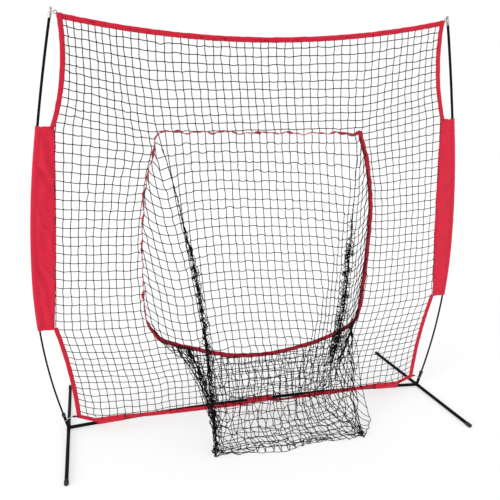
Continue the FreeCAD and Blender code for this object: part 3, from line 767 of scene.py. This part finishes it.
def in_turns(ends, count):
    """Groups of cords that share no knot, so that each group can be drawn in at once."""
    used, turn = [set() for _ in range(count)], np.zeros(len(ends), int)
    for k, (first, last) in enumerate(ends):
        while turn[k] in used[first] or turn[k] in used[last]:
            turn[k] += 1
        used[first].add(turn[k])
        used[last].add(turn[k])
    return [np.flatnonzero(turn == value) for value in range(turn.max() + 1)]


TICK, GRAVITY = 1 / 240, 9.81
AIR_DRAG, FLOOR_DRAG = 0.985, 0.2        # share of a knot's speed that is left after a tick
PUSH_BACK = 0.3              # how much of a crumpled cord's shortness is undone at once


def settled(net, steps):
    """Knot places after the net has hung for some steps, held at its edges and lying on the floor."""
    places, ends = np.array(net.places), np.array(net.ends)
    lengths, least = np.array(net.lengths)[:, None], np.array(net.least)[:, None]
    free = np.where(net.held, 0.0, 1.0)
    pull = (GRAVITY * np.array(net.weights) * free)[:, None] * UP
    groups = []
    for members in in_turns(net.ends, len(places)):
        first, last = ends[members].T
        share = free[first] + free[last]
        keep = share > 0
        first, last, members, share = first[keep], last[keep], members[keep], share[keep]
        groups.append((first, last, lengths[members], least[members],
                       (free[first] / share)[:, None], (free[last] / share)[:, None]))
    speed = np.zeros_like(places)
    for _ in range(steps):
        before = places.copy()
        speed = (speed - pull * TICK) * AIR_DRAG * free[:, None]
        places += speed * TICK
        for _ in range(2):
            for first, last, most, fewest, first_share, last_share in groups:
                span = places[last] - places[first]
                reach = np.linalg.norm(span, axis=1, keepdims=True) + 1e-9
                short = np.where(reach < fewest, (reach - fewest) * PUSH_BACK, 0.0)
                span *= np.where(reach > most, reach - most, short) / reach
                places[first] += span * first_share
                places[last] -= span * last_share
        resting = (places[:, 2] < FLOOR_CLEAR) & (free > 0)
        places[resting, 2] = FLOOR_CLEAR
        speed = (places - before) / TICK
        speed[resting, 0:2] *= FLOOR_DRAG
        places[resting, 0:2] = before[resting, 0:2] + speed[resting, 0:2] * TICK
    return places


net = Net()
pocket_columns = main_net(net)
panel, left_low = pocket_panel(net, pocket_columns)
left_top = pocket_columns[0][-1][2]
right_top, right_low = pocket_columns[-1][-1][2], pocket_columns[-1][0][2]
pocket_side(net, list(panel[0]), left_top if left_top > opening_length / 2 else left_top + opening_length,
            left_low, "pocket_left_side")
pocket_side(net, list(panel[-1]), right_top, right_low, "pocket_right_side")
knots = settled(net, 700)
held = np.array(net.held)
bag_ends = [ends for ends, part in zip(net.ends, net.parts) if part != "main_net"]
in_bag = np.isin(np.arange(len(knots)), np.unique(bag_ends))
slackness = np.clip((0.62 - knots[:, 2]) / 0.35, 0.12, 1) * in_bag * ~held
knots += random.normal(0, 0.0058, knots.shape) * slackness[:, None]
knots[:, 2] = np.maximum(knots[:, 2], FLOOR_CLEAR)

CORD_STATIONS = 4
BOW_SHARE = 0.34             # of the slack, that goes into a cord's sideways bow


def cord_paths(part):
    """Centre lines of one part's cords. A slack cord bows out sideways and a little down."""
    chosen = [k for k, name in enumerate(net.parts) if name == part]
    ends = np.array([net.ends[k] for k in chosen])
    lengths = np.array([net.lengths[k] for k in chosen])
    first, last = knots[ends[:, 0]], knots[ends[:, 1]]
    gap = np.linalg.norm(last - first, axis=1)
    low = np.clip((1.35 - (first[:, 2] + last[:, 2]) / 2) / 0.9, 0.12, 1)
    full = np.where(gap < 0.6 * CELL, CELL, lengths)
    bow = np.sqrt(np.clip(full * full - gap * gap, 0, None)) * BOW_SHARE * random.uniform(0.35, 1.0, len(chosen))
    bow = np.minimum(bow, 0.003 + 0.013 * low) + random.uniform(0.0006, 0.0026, len(chosen))
    lean = random.normal(size=(len(chosen), 3)) - UP * 0.8
    ahead = unit(last - first)
    lean = unit(lean - ahead * (lean * ahead).sum(axis=1, keepdims=True))
    share = np.linspace(0, 1, CORD_STATIONS)[None, :, None]
    rise = 4 * share * (1 - share)
    paths = first[:, None] * (1 - share) + last[:, None] * share + lean[:, None] * bow[:, None, None] * rise
    paths[..., 2] = np.maximum(paths[..., 2], 0.0015)
    return paths, ends


def knot_blobs(used):
    """A small uneven lump at each knot."""
    golden = (1 + 5 ** 0.5) / 2
    corners = [(s, t * golden, 0) for s in (-1, 1) for t in (-1, 1)]
    corners = np.array(corners + [(0, x, y) for x, y, z in corners] + [(y, 0, x) for x, y, z in corners])
    corners = unit(corners)
    faces = []
    for first, second, third in itertools.combinations(range(12), 3):
        a, b, c = corners[[first, second, third]]
        if np.linalg.norm([a - b, b - c, c - a], axis=1).max() < 1.2:
            faces.append((first, second, third) if np.dot(np.cross(b - a, c - a), a) > 0 else (first, third, second))
    size = KNOT_R * (1 + 0.25 * random.random((len(used), 12, 1)))
    points = knots[used][:, None] + corners[None] * size * np.array([1.25, 0.9, 1.0])
    points[..., 2] = np.maximum(points[..., 2], 0.0004)
    offsets = (np.arange(len(used)) * 12)[:, None, None]
    uv = np.broadcast_to(np.stack([corners[:, 0] * 0.5 + 0.5, corners[:, 2] * KNOT_R], axis=-1), (len(used), 12, 2))
    return points.reshape(-1, 3), (np.array(faces)[None] + offsets).reshape(-1, 3), uv.reshape(-1, 2)


LACE_STATIONS, LACE_TURNS = 420, 62
LACE_R, BOW_R = 0.0013, 0.0016
BOW_SPAN = (3, 18)           # stations from a bow's start to its end, from and up to
BOW_REACH = 0.034            # no bow stands out farther than this
BOWS_BELOW, BOWS_FADE = 1.22, 0.25
bow_fullness = table((0.0, 0.12, 0.30, 0.60, 0.85, 1.18), (1.0, 1.5, 2.4, 1.6, 1.0, 0.15))


def seam_lacing(chain, bunch, lowest, lean):
    """Cords that lace a seam, and the slack of its gathered cells standing out as small bows."""
    line = resampled(knots[chain], LACE_STATIONS)
    turn = np.linspace(0, math.tau * LACE_TURNS, LACE_STATIONS)[:, None]
    sway = np.array([1.0, 0.4, 0.0]) * np.sin(turn) + np.array([0.0, 1.0, 0.2]) * np.cos(turn)
    loose = 0.0016 + 0.0030 * np.clip((1.3 - line[:, 2:]) / 1.0, 0, 1)
    laces = np.stack([line + sway * loose, line + 0.0007 * sway])
    count = int(6500 * bunch) + 150
    start = random.integers(0, LACE_STATIONS - 20, count)
    height = line[start, 2]
    low_enough = height < BOWS_BELOW - BOWS_FADE * random.random(count)
    start = start[low_enough & (height > lowest + 0.1 * random.random(count))]
    stop = np.minimum(start + random.integers(*BOW_SPAN, len(start)), LACE_STATIONS - 1)
    size = bunch * bow_fullness(line[start, 2]) * np.abs(random.normal(0.45, 0.4, len(start)))
    away = random.normal(0, 1, (len(start), 3)) * np.array([1.0, 0.7, 0.5]) + np.array([lean, 0.0, 0.0])
    away = unit(away) * np.minimum(size, BOW_REACH)[:, None]
    share = np.linspace(0, 1, 6)[None, :, None]
    bows = line[start][:, None] * (1 - share) + line[stop][:, None] * share
    bows = bows + away[:, None] * np.sin(math.pi * share) ** 0.8
    for runs in (laces, bows):
        runs[..., 2] = np.maximum(runs[..., 2], 0.002)
    return merged(tubes(laces, LACE_R), tubes(bows, BOW_R))


def netting_piece(part, seams=()):
    paths, ends = cord_paths(part)
    owned = np.setdiff1d(np.unique(ends), np.flatnonzero(held & in_bag))
    made = merged(tubes(paths, TWINE_R), knot_blobs(owned), *[seam_lacing(*seam) for seam in seams])
    made[0][:, 2] = np.maximum(made[0][:, 2], 0.0003)
    return settle(mesh_object(part + "_netting", *made[:2], "black_netting", made[2]), [part])


netting_piece("main_net")
netting_piece("pocket_front")
netting_piece("pocket_bottom")
netting_piece("pocket_left_side", [(panel[0, :FRONT_ROWS + 1], 0.030, 0.12, 0.35)])
netting_piece("pocket_right_side", [(panel[-1, :SNUG_ROWS + 4], 0.056, 0.36, -0.5)])

# ---- poles' course, for the sleeves

HUB_X, LEG_Z = 1.076, 0.011
SOCKET_LEAN = math.radians(13.9)
POLE_STRAIGHT = 0.096
POLE_BENDS = ((0.800, 2.735), (0.600, 4.925), (0.620, 10.650))   # length and radius of each bend
POLE_END = POLE_STRAIGHT + sum(length for length, radius in POLE_BENDS)
BAR_RISE = 0.036
TUBE_R = 0.0095
CORNER = (0.960, 2.098)      # X and Z of the net's top corner
SLEEVE_TOP, SLEEVE_BOTTOM = (1.013, 1.619), (1.099, 0.604)
BOTTOM_CORNER = (1.026, 0.086)


def pole_at(distance):
    """(X, Z, heading from the vertical) at a distance along the right pole from its hub."""
    x, z, heading = HUB_X, LEG_Z, SOCKET_LEAN
    run = min(distance, POLE_STRAIGHT)
    x, z, left = x + math.sin(heading) * run, z + math.cos(heading) * run, distance - run
    for length, radius in POLE_BENDS:
        run = min(left, length)
        turned = heading - run / radius
        x += (math.cos(turned) - math.cos(heading)) * radius
        z += (math.sin(heading) - math.sin(turned)) * radius
        heading, left = turned, left - run
    return x, z, heading


def pole_reach(height):
    """Distance along the pole at which it reaches a height."""
    low, high = 0.0, POLE_END
    for _ in range(24):
        middle = (low + high) / 2
        low, high = (middle, high) if pole_at(middle)[1] < height else (low, middle)
    return low


def bar_z(x):
    radius = (HUB_X ** 2 + BAR_RISE ** 2) / (2 * BAR_RISE)
    return LEG_Z + BAR_RISE - radius + np.sqrt(radius ** 2 - np.asarray(x, float) ** 2)


# ---- cloth helpers

def folds(u, v, count, size, width, slant, seed):
    """Soft ridges over a surface measured in metres along u and v, each along a slanting line."""
    draw = np.random.default_rng(seed)
    height = np.zeros(np.broadcast(u, v).shape)
    low_u, high_u, low_v, high_v = np.min(u), np.max(u), np.min(v), np.max(v)
    for _ in range(count):
        at_u, at_v = draw.uniform(low_u, high_u), draw.uniform(low_v, high_v)
        angle = draw.normal(slant, 0.30)
        spread = width * draw.uniform(0.6, 1.5)
        reach = draw.uniform(3.0, 7.0) * width
        along = (u - at_u) * math.cos(angle) + (v - at_v) * math.sin(angle)
        off = (v - at_v) * math.cos(angle) - (u - at_u) * math.sin(angle) + 2.0 * along ** 2 * draw.uniform(-1, 1)
        height += size * draw.uniform(-0.7, 1.0) * np.exp(-(off / spread) ** 2 - (along / reach) ** 2)
    return height


def wobble(values, wavelength, seed):
    """Smooth irregular wave between about -1 and 1."""
    draw = np.random.default_rng(seed)
    total = np.zeros_like(np.asarray(values, float))
    for harmonic in (0.45, 0.8, 1.0, 1.6, 2.3):
        total += np.sin(np.asarray(values) * math.tau * harmonic / wavelength + draw.uniform(0, math.tau)) / 3.2
    return total


def cloth_grid(name, points, u, v, finish, thickness, **closed):
    """Sheet of cloth from a grid of points, with UVs in metres."""
    faces = grid_faces(*points.shape[:2], **closed)
    piece = mesh_object(name, points.reshape(-1, 3), faces, finish, grid_uv(u, v))
    solid = piece.modifiers.new("thickness", "SOLIDIFY")
    solid.thickness, solid.offset = thickness, 0.0
    return piece


def mirrored(points, side):
    """Points made at +X, moved to the side that is -1 or 1."""
    return np.asarray(points) * (side, 1.0, 1.0)


# ---- side sleeves

# Loop of the tunnel's cloth round the pole, outward and Y from the pole's axis
TUNNEL = np.array([(-0.0160, -0.0104), (-0.0095, -0.0107), (-0.0030, -0.0108), (0.0035, -0.0098), (0.0082, -0.0064),
                   (0.0100, -0.0010), (0.0090, 0.0045), (0.0050, 0.0082), (-0.0005, 0.0094), (-0.0060, 0.0078),
                   (-0.0105, 0.0032), (-0.0138, -0.0030), (-0.0158, -0.0088)])
SLEEVE_STATIONS, PANEL_COLUMNS = 260, 22
SLEEVE_WIDTH, SLEEVE_LENGTH = 0.175, 1.02    # flat, with the tunnel
SLEEVE_Y = -0.0112           # plane of the panel at the net's edge
FOLD_LIMITS = -0.008, 0.010


def side_sleeve(side, side_name, seed):
    """Red panel from the net's straight edge to the pole, with the tunnel that closes round the pole."""
    name = side_name + "_side_sleeve"
    tunnel = resampled(smooth_run(np.c_[TUNNEL, np.zeros(len(TUNNEL))], 40), 30)[:, :2]
    first, last = pole_reach(SLEEVE_BOTTOM[1]), pole_reach(SLEEVE_TOP[1])
    steps = np.linspace(0, 1, PANEL_COLUMNS)[:-1, None]
    y = np.r_[SLEEVE_Y * (1 - steps[:, 0]) + tunnel[0, 1] * steps[:, 0], tunnel[:, 1]]
    rows, widths = [], []
    for share in np.linspace(0, 1, SLEEVE_STATIONS):
        x, z, heading = pole_at(first + (last - first) * share)
        edge = np.array(SLEEVE_BOTTOM) * (1 - share) + np.array(SLEEVE_TOP) * share
        edge[0] -= 0.004 * share + 0.008 * math.sin(math.pi * share)
        loop = np.array([x, z]) + np.array([math.cos(heading), -math.sin(heading)]) * tunnel[:, :1]
        xz = np.concatenate([edge * (1 - steps) + loop[0] * steps, loop])
        rows.append(np.stack([xz[:, 0], y, xz[:, 1]], axis=1))
        widths.append(np.linalg.norm(loop[0] - edge))
    points, width = np.array(rows), np.array(widths)[:, None]
    along = np.linspace(0, SLEEVE_LENGTH, SLEEVE_STATIONS)[:, None]
    across = run_along(points)
    free = np.sin(math.pi * np.clip(across / width, 0, 1)) ** 0.8
    ends = np.clip(np.minimum(along, SLEEVE_LENGTH - along) / 0.03, 0.25, 1)
    soft = folds(across, along, 70, 0.0085, 0.016, 1.15, seed)
    soft = np.clip(soft + folds(across, along, 60, 0.0048, 0.009, 0.75, seed + 1), *FOLD_LIMITS) * free * ends
    at_seam, at_edge = np.exp(-((across - width) / 0.010) ** 2), np.exp(-(across / 0.012) ** 2)
    pucker = 0.0009 * wobble(along, 0.013, seed + 2) * at_seam + 0.0008 * wobble(along, 0.016, seed + 3) * at_edge
    points[..., 1] += (pucker - soft) * (across < width)
    points[..., 1] -= 0.0006 * wobble(along + across * 0.4, 0.05, seed + 4) * (across > width)
    points[:, 0, 0] += 0.0006 * wobble(along[:, 0], 0.05, seed + 5)
    points[[0, -1], :, 2] += 0.0012 * wobble(across[[0, -1]], 0.04, seed + 6)
    placed = mirrored(points, side)
    piece = cloth_grid(name + "_cloth", placed, across, along, "red_fabric", 0.0009)
    settle(piece, [name])
    lines = [placed[4:-4, column] for column in (1, 3, PANEL_COLUMNS - 2, PANEL_COLUMNS)]
    lines += [placed[row, 1:PANEL_COLUMNS + 8] for row in (4, 6, -5, -7)]
    thread = stitches(name + "_stitching", [line + (0, -0.0007, 0) for line in lines], (0, -1, 0))


for (side, side_name), seed in zip(SIDES, (21, 47)):
    side_sleeve(side, side_name, seed)


# ---- tape round the net

TAPE_WIDTH = 0.024
# Folded tape from its front sewn edge round the fold to its back one: share of the width from the fold, Y
TAPE = np.array([(1.0, -0.0013), (0.86, -0.0012), (0.72, -0.0017), (0.45, -0.0022), (0.16, -0.0024), (0.03, -0.0016),
                 (0.0, 0.0), (0.03, 0.0012), (0.16, 0.0016), (0.45, 0.0016), (0.72, 0.0012), (0.86, 0.0009),
                 (1.0, 0.0008)])


def tape(name, node, outer, inner, seed, lift=0.0, waves=0.0010):
    """Folded tape between its fold line and its sewn line, both arrays of (x, z) that run the same way."""
    run = run_along(outer)
    sewn = inner + (inner - outer) * (0.03 * wobble(run, 0.047, seed))[:, None]
    fold = outer + (outer - inner) * (0.035 * wobble(run, 0.11, seed + 1))[:, None]
    share = TAPE[:, 0]
    flat = fold[:, None] * (1 - share)[:, None] + sewn[:, None] * share[:, None]
    tucks = wobble(run[:, None] + 0.012 * share, 0.028, seed + 2) * waves * (0.35 + share)
    sway = wobble(run, 0.31, seed + 3)[:, None] * waves * 1.2
    y = NET_Y - 0.0006 - lift + TAPE[:, 1] + tucks + sway
    points = np.stack([flat[..., 0], y, flat[..., 1]], axis=-1)
    around = run_along(points[len(points) // 2])
    piece = cloth_grid(name, points, around[None], run[:, None], "red_tape", 0.0007)
    settle(piece, [node])
    front = points[:, 1] * 0.75 + points[:, 2] * 0.25 + (0, -0.0005, 0)
    behind = points[:, -2] * 0.75 + points[:, -3] * 0.25 + (0, 0.0005, 0)
    threads = [stitches(name + "_stitching", [front], (0, -1, 0)),
               stitches(name + "_back_stitching", [behind], (0, 1, 0))]


def arc_line(first, middle, last, stations):
    """Points on a circle's arc through three (x, z) points."""
    (ax, az), (bx, bz), (cx, cz) = first, middle, last
    d = 2 * (ax * (bz - cz) + bx * (cz - az) + cx * (az - bz))
    ux = ((ax ** 2 + az ** 2) * (bz - cz) + (bx ** 2 + bz ** 2) * (cz - az) + (cx ** 2 + cz ** 2) * (az - bz)) / d
    uz = ((ax ** 2 + az ** 2) * (cx - bx) + (bx ** 2 + bz ** 2) * (ax - cx) + (cx ** 2 + cz ** 2) * (bx - ax)) / d
    radius = math.hypot(ax - ux, az - uz)
    start, stop = math.atan2(az - uz, ax - ux), math.atan2(cz - uz, cx - ux)
    turn = (stop - start + math.pi) % math.tau - math.pi
    angles = start + turn * np.linspace(0, 1, stations)
    return np.stack([ux + radius * np.cos(angles), uz + radius * np.sin(angles)], axis=1)


top_line = arc_line((-CORNER[0], CORNER[1]), (0.0, 2.008), CORNER, 420)
tape("top_trim_tape", "top_trim", top_line, top_line - (0, TAPE_WIDTH), 61)

# The side tapes lap the sleeve's ends and the net's corners a little
upper_line = arc_line((CORNER[0], CORNER[1] - 0.002), (0.965, 1.860),
                      (SLEEVE_TOP[0] + 0.017, SLEEVE_TOP[1] - 0.006), 120)
lower_line = arc_line((SLEEVE_BOTTOM[0] + 0.006, SLEEVE_BOTTOM[1] + 0.012), (1.049, 0.340),
                      (BOTTOM_CORNER[0], BOTTOM_CORNER[1] - 0.010), 130)
for side, side_name in SIDES:
    for level, line, seed in (("_upper_side_", upper_line, 71), ("_lower_side_", lower_line, 81)):
        tape(side_name + level + "tape", side_name + level + "trim", line * (side, 1.0),
             (line - (TAPE_WIDTH, 0)) * (side, 1.0), seed + side, lift=0.0034)

TABS = {"left": -0.840, "centre": 0.032, "right": 0.855}
TAB_LENGTH = 0.152


def hem_edges(x):
    """Lower and upper edge of the hem: bunched inside the centre tab, folded in beside it."""
    middle, half = hem_z(x), np.full(np.shape(x), TAPE_WIDTH / 2)
    inside = np.exp(-((x - TABS["centre"]) / 0.082) ** 6)
    middle = middle + (bar_z(x) - 0.004 - middle) * inside
    half = half * (1 - 0.42 * inside)
    tucked = np.exp(-((x - 0.20) / 0.075) ** 2)
    return middle - half + 0.001 * tucked, middle + half - 0.011 * tucked


hem_x = np.linspace(-BOTTOM_CORNER[0], BOTTOM_CORNER[0], 440)
hem_lines = [np.stack([hem_x, edge], axis=1) for edge in hem_edges(hem_x)]
tape("bottom_hem_tape", "bottom_hem", *hem_lines, 91, waves=0.0007)


# ---- tabs round the base bar

TAB_STATIONS = 60
BAR_CLEAR = 0.0012           # from the bar to the cloth's middle


def bar_tab(name, centre, seed):
    """Red cloth loop round the base bar and the hem, sewn shut above them."""
    rows = []
    angles = np.linspace(0, math.tau, 40, endpoint=False)
    circle = np.stack([np.cos(angles), np.sin(angles)], axis=1) * (TUBE_R + BAR_CLEAR)
    for x in np.linspace(centre - TAB_LENGTH / 2, centre + TAB_LENGTH / 2, TAB_STATIONS):
        low, high = hem_edges(x)
        hem_box = [(y, z) for y in (-0.0148, -0.0088) for z in (low - 0.0004, high + 0.0004)]
        loop = np.concatenate([circle + (0, bar_z(x)), hem_box])
        loop = loop[convex_hull_2d([Vector(point) for point in loop])]
        loop = np.roll(loop, -np.argmax(loop[:, 1]), axis=0)
        closed = np.concatenate([loop, loop[:1]])
        even = resampled(np.c_[closed, np.zeros(len(closed))], 57)[:-1, :2]
        for _ in range(2):
            even = (np.roll(even, 1, axis=0) + 2 * even + np.roll(even, -1, axis=0)) / 4
        rows.append(np.c_[np.full(len(even), x), even])
    points = np.array(rows)
    out = unit((points - points.mean(axis=1, keepdims=True)) * (0, 1, 1))
    along = np.linspace(0, TAB_LENGTH, TAB_STATIONS)[:, None]
    around = np.linspace(0, 0.12, points.shape[1])[None]
    loose = folds(along, around, 34, 0.0016, 0.007, 0.5, seed) + 0.0010
    points += out * np.clip(loose, 0.0002, 0.0032)[..., None]
    points[[0, -1], :, 0] += 0.0012 * wobble(around, 0.05, seed + 1)
    girth = float(run_along(points[TAB_STATIONS // 2])[-1])
    piece = cloth_grid(name + "_cloth", points, along, around, "red_fabric", 0.0011, close_columns=True)
    settle(piece, [name])
    lines = [points[2, :], points[-3, :], points[:, 2], points[:, -2]]
    lines = [line + unit((line - line.mean(axis=0)) * (0, 1, 1)) * 0.0007 for line in lines]
    threads = [stitches(name + "_end_stitching", lines[:2], (0, -0.9, 0.3)),
               stitches(name + "_seam_stitching", lines[2:], (0, 0, 1))]


for seed, (tab, centre) in enumerate(TABS.items(), 5):
    bar_tab(tab + "_bar_tab", centre, seed)


# ---- ribbon round the opening

RIBBON = np.array([(-0.5, 0.35), (-0.15, 0.55), (0.2, 0.5), (0.46, 0.4), (0.5, 0.0), (0.46, -0.4), (0.2, -0.5),
                   (-0.15, -0.5), (-0.5, -0.35)])
RIBBON_WIDTH, RIBBON_THICK = 0.024, 0.0024


def opening_ribbon():
    """Dark red tape folded over the net's cut edge. It stands edge-on along the top and the left."""
    stations = 620
    distance = np.linspace(0, opening_length, stations, endpoint=False)
    centre = edge_at(distance)
    ahead = unit(np.roll(centre, -1, axis=0) - np.roll(centre, 1, axis=0))
    outward = np.stack([-ahead[:, 1], np.zeros(stations), ahead[:, 0]], axis=1)
    forward = np.array([0.0, -1.0, 0.0])
    place = opening_at(distance)
    top = np.clip((place[:, 1] - 1.50) / 0.05, 0, 1)
    left = np.clip((-place[:, 0] - 0.50) / 0.08, 0, 1) * np.clip((place[:, 1] - 0.50) / 0.15, 0, 1)
    upright = np.maximum(top * np.clip((0.53 - place[:, 0]) / 0.06, 0, 1), left)
    twist = 1.40 * upright + wobble(distance, 0.16, 33) * (0.14 + 0.42 * upright) + 0.12
    side = outward * np.cos(twist)[:, None] + forward * np.sin(twist)[:, None]
    normal = np.cross(side, np.stack([ahead[:, 0], np.zeros(stations), ahead[:, 1]], axis=1))
    middle = np.stack([centre[:, 0], np.full(stations, NET_Y - 0.0012), centre[:, 1]], axis=1)
    middle = middle + forward * (0.5 * RIBBON_WIDTH * np.clip(np.sin(twist), 0, 1) * 0.7)[:, None]
    width = RIBBON_WIDTH * (1 - 0.25 * upright * (0.5 + 0.5 * wobble(distance, 0.21, 34)))
    points = (middle[:, None] + side[:, None] * (RIBBON[:, 0] * width[:, None])[..., None]
              + normal[:, None] * (RIBBON[:, 1] * RIBBON_THICK)[:, None])
    cupped = 0.0012 * (4 * RIBBON[:, 0] ** 2 - 0.5) * wobble(distance, 0.09, 35)[:, None]
    points += normal[:, None] * cupped[..., None]
    piece = cloth_grid("opening_ribbon_tape", points, run_along(points[0])[None], distance[:, None],
                       "dark_red_ribbon", 0.0006, close_rows=True)
    settle(piece, ["opening_ribbon"])
    sewn = points[:, 0] * 0.6 + points[:, 1] * 0.4 + normal * 0.0005
    thread = stitches("opening_ribbon_stitching", [sewn], forward)


opening_ribbon()


# ---- cords and straps at the corners

TIE_R = 0.00105
COIL_R = 0.0089              # the tie's turns round the pole tip
STRAP_HALF, STRAP_THICK = 0.0040, 0.0007
STRAP = np.array([(-1, 0.5), (-0.5, 0.62), (0, 0.66), (0.5, 0.62), (1, 0.5), (1, -0.5), (0.5, -0.62), (0, -0.66),
                  (-0.5, -0.62), (-1, -0.5)])    # section, in half widths and thicknesses


def top_tie_runs():
    """Courses of the right top tie: turns round the tip, two strands to the net's ring, a hitch and two tails."""
    end_x, end_z, heading = pole_at(POLE_END)
    axis = np.array([math.sin(heading), 0.0, math.cos(heading)])
    outward = np.array([math.cos(heading), 0.0, -math.sin(heading)])
    middle = np.array([end_x, 0.0, end_z]) - axis * 0.004
    coil = [middle - (outward * math.cos(t) + (0.0, math.sin(t), 0.0)) * COIL_R
            + axis * (0.0021 * (t / math.tau) - 0.002) for t in np.linspace(-0.4, 2 * math.tau + 0.5, 40)]
    ring = np.array([CORNER[0] + 0.0104, NET_Y - 0.0034, CORNER[1] + 0.0006])
    strand = [coil[-1], coil[-1] + (-0.0040, -0.0030, -0.0004), ring + (0.0070, 0.0020, 0.0014), ring,
              ring + (-0.0030, -0.0024, -0.0008), ring + (0.0010, -0.0032, -0.0022),
              ring + (0.0075, -0.0010, -0.0012)]
    second = [coil[0], coil[0] + (-0.0030, -0.0034, -0.0022), ring + (0.0085, -0.0014, -0.0010),
              ring + (0.0050, -0.0030, -0.0020)]
    hitch = ring + (0.0072, -0.0004, 0.0)
    turns = [hitch + (0.0012 * math.sin(t * 0.5), 0.0026 * math.cos(t), 0.0026 * math.sin(t))
             for t in np.linspace(0, 2.2 * math.tau, 24)]
    tails = [[hitch + step for step in steps] for steps in (
        ((0.0, -0.0024, -0.0010), (0.0016, -0.0044, -0.0060), (0.0008, -0.0040, -0.0160)),
        ((0.0006, -0.0020, -0.0016), (-0.0018, -0.0048, -0.0050), (-0.0040, -0.0046, -0.0110)))]
    return [coil, strand, second, turns] + tails


def top_tie(side, side_name):
    """White cord that ties the net's top corner to the pole tip."""
    cords = [tubes([smooth_run(mirrored(run, side), max(int(run_along(run)[-1] / 0.0016), 12))], TIE_R, 8)
             for run in top_tie_runs()]
    points, faces, uv = merged(*cords)
    piece = mesh_object(side_name + "_top_tie", points, faces, "white_cord", uv)
    settle(piece, [side_name + "_top_cord"])


def corner_strap(side, side_name):
    """Woven strap doubled through the hook's eye and sewn to the net's bottom corner."""
    eye = np.array([BOTTOM_CORNER[0] + 0.0195, -0.0066, BOTTOM_CORNER[1] - 0.0050])
    sewn = np.array([BOTTOM_CORNER[0] - 0.012, -0.0160, BOTTOM_CORNER[1] - 0.0020])
    course = smooth_run([sewn, sewn + (0.010, -0.0004, -0.0006), eye + (-0.008, -0.0058, 0.0008),
                         eye + (0.0024, -0.0034, -0.0003), eye + (0.0038, 0.0006, -0.0006),
                         eye + (0.0018, 0.0036, -0.0004), eye + (-0.008, 0.0008, 0.0007),
                         sewn + (0.012, 0.0035, -0.0003), sewn + (0.001, 0.0030, 0.0002)], 70)
    out = unit(np.cross(UP, unit(np.gradient(course, axis=0))))
    points = course[:, None] + UP * (STRAP[:, :1] * STRAP_HALF) + out[:, None] * (STRAP[:, 1:] * STRAP_THICK)
    stations, count = points.shape[:2]
    caps = np.array([range(count - 1, -1, -1), range(count * (stations - 1), count * stations)])
    faces = [group[:, ::side] for group in (grid_faces(stations, count, close_columns=True), caps)]
    uv = grid_uv(run_along(points[0])[None], run_along(course)[:, None])
    piece = mesh_object(side_name + "_corner_strap_webbing", mirrored(points, side).reshape(-1, 3), faces,
                        "black_elastic", uv)
    settle(piece, [side_name + "_corner_strap"])
    bars = [mirrored([sewn + (along, -0.0011, -STRAP_HALF * 0.8), sewn + (along, -0.0011, STRAP_HALF * 0.8)], side)
            for along in (0.003, 0.006, 0.009)]
    stitches(side_name + "_corner_strap_stitching", bars, (0, -1, 0), 0.0022, 0.0017)


for corner_piece in (top_tie, corner_strap):
    for side, side_name in SIDES:
        corner_piece(side, side_name)


# ---- floor

FLOOR_REACH = 14.0
floor_corners = [(x * FLOOR_REACH, y * FLOOR_REACH, 0.0) for x, y in ((-1, -1), (1, -1), (1, 1), (-1, 1))]
ground = mesh_object("floor", floor_corners, np.array([(0, 1, 2, 3)]), "studio_floor")
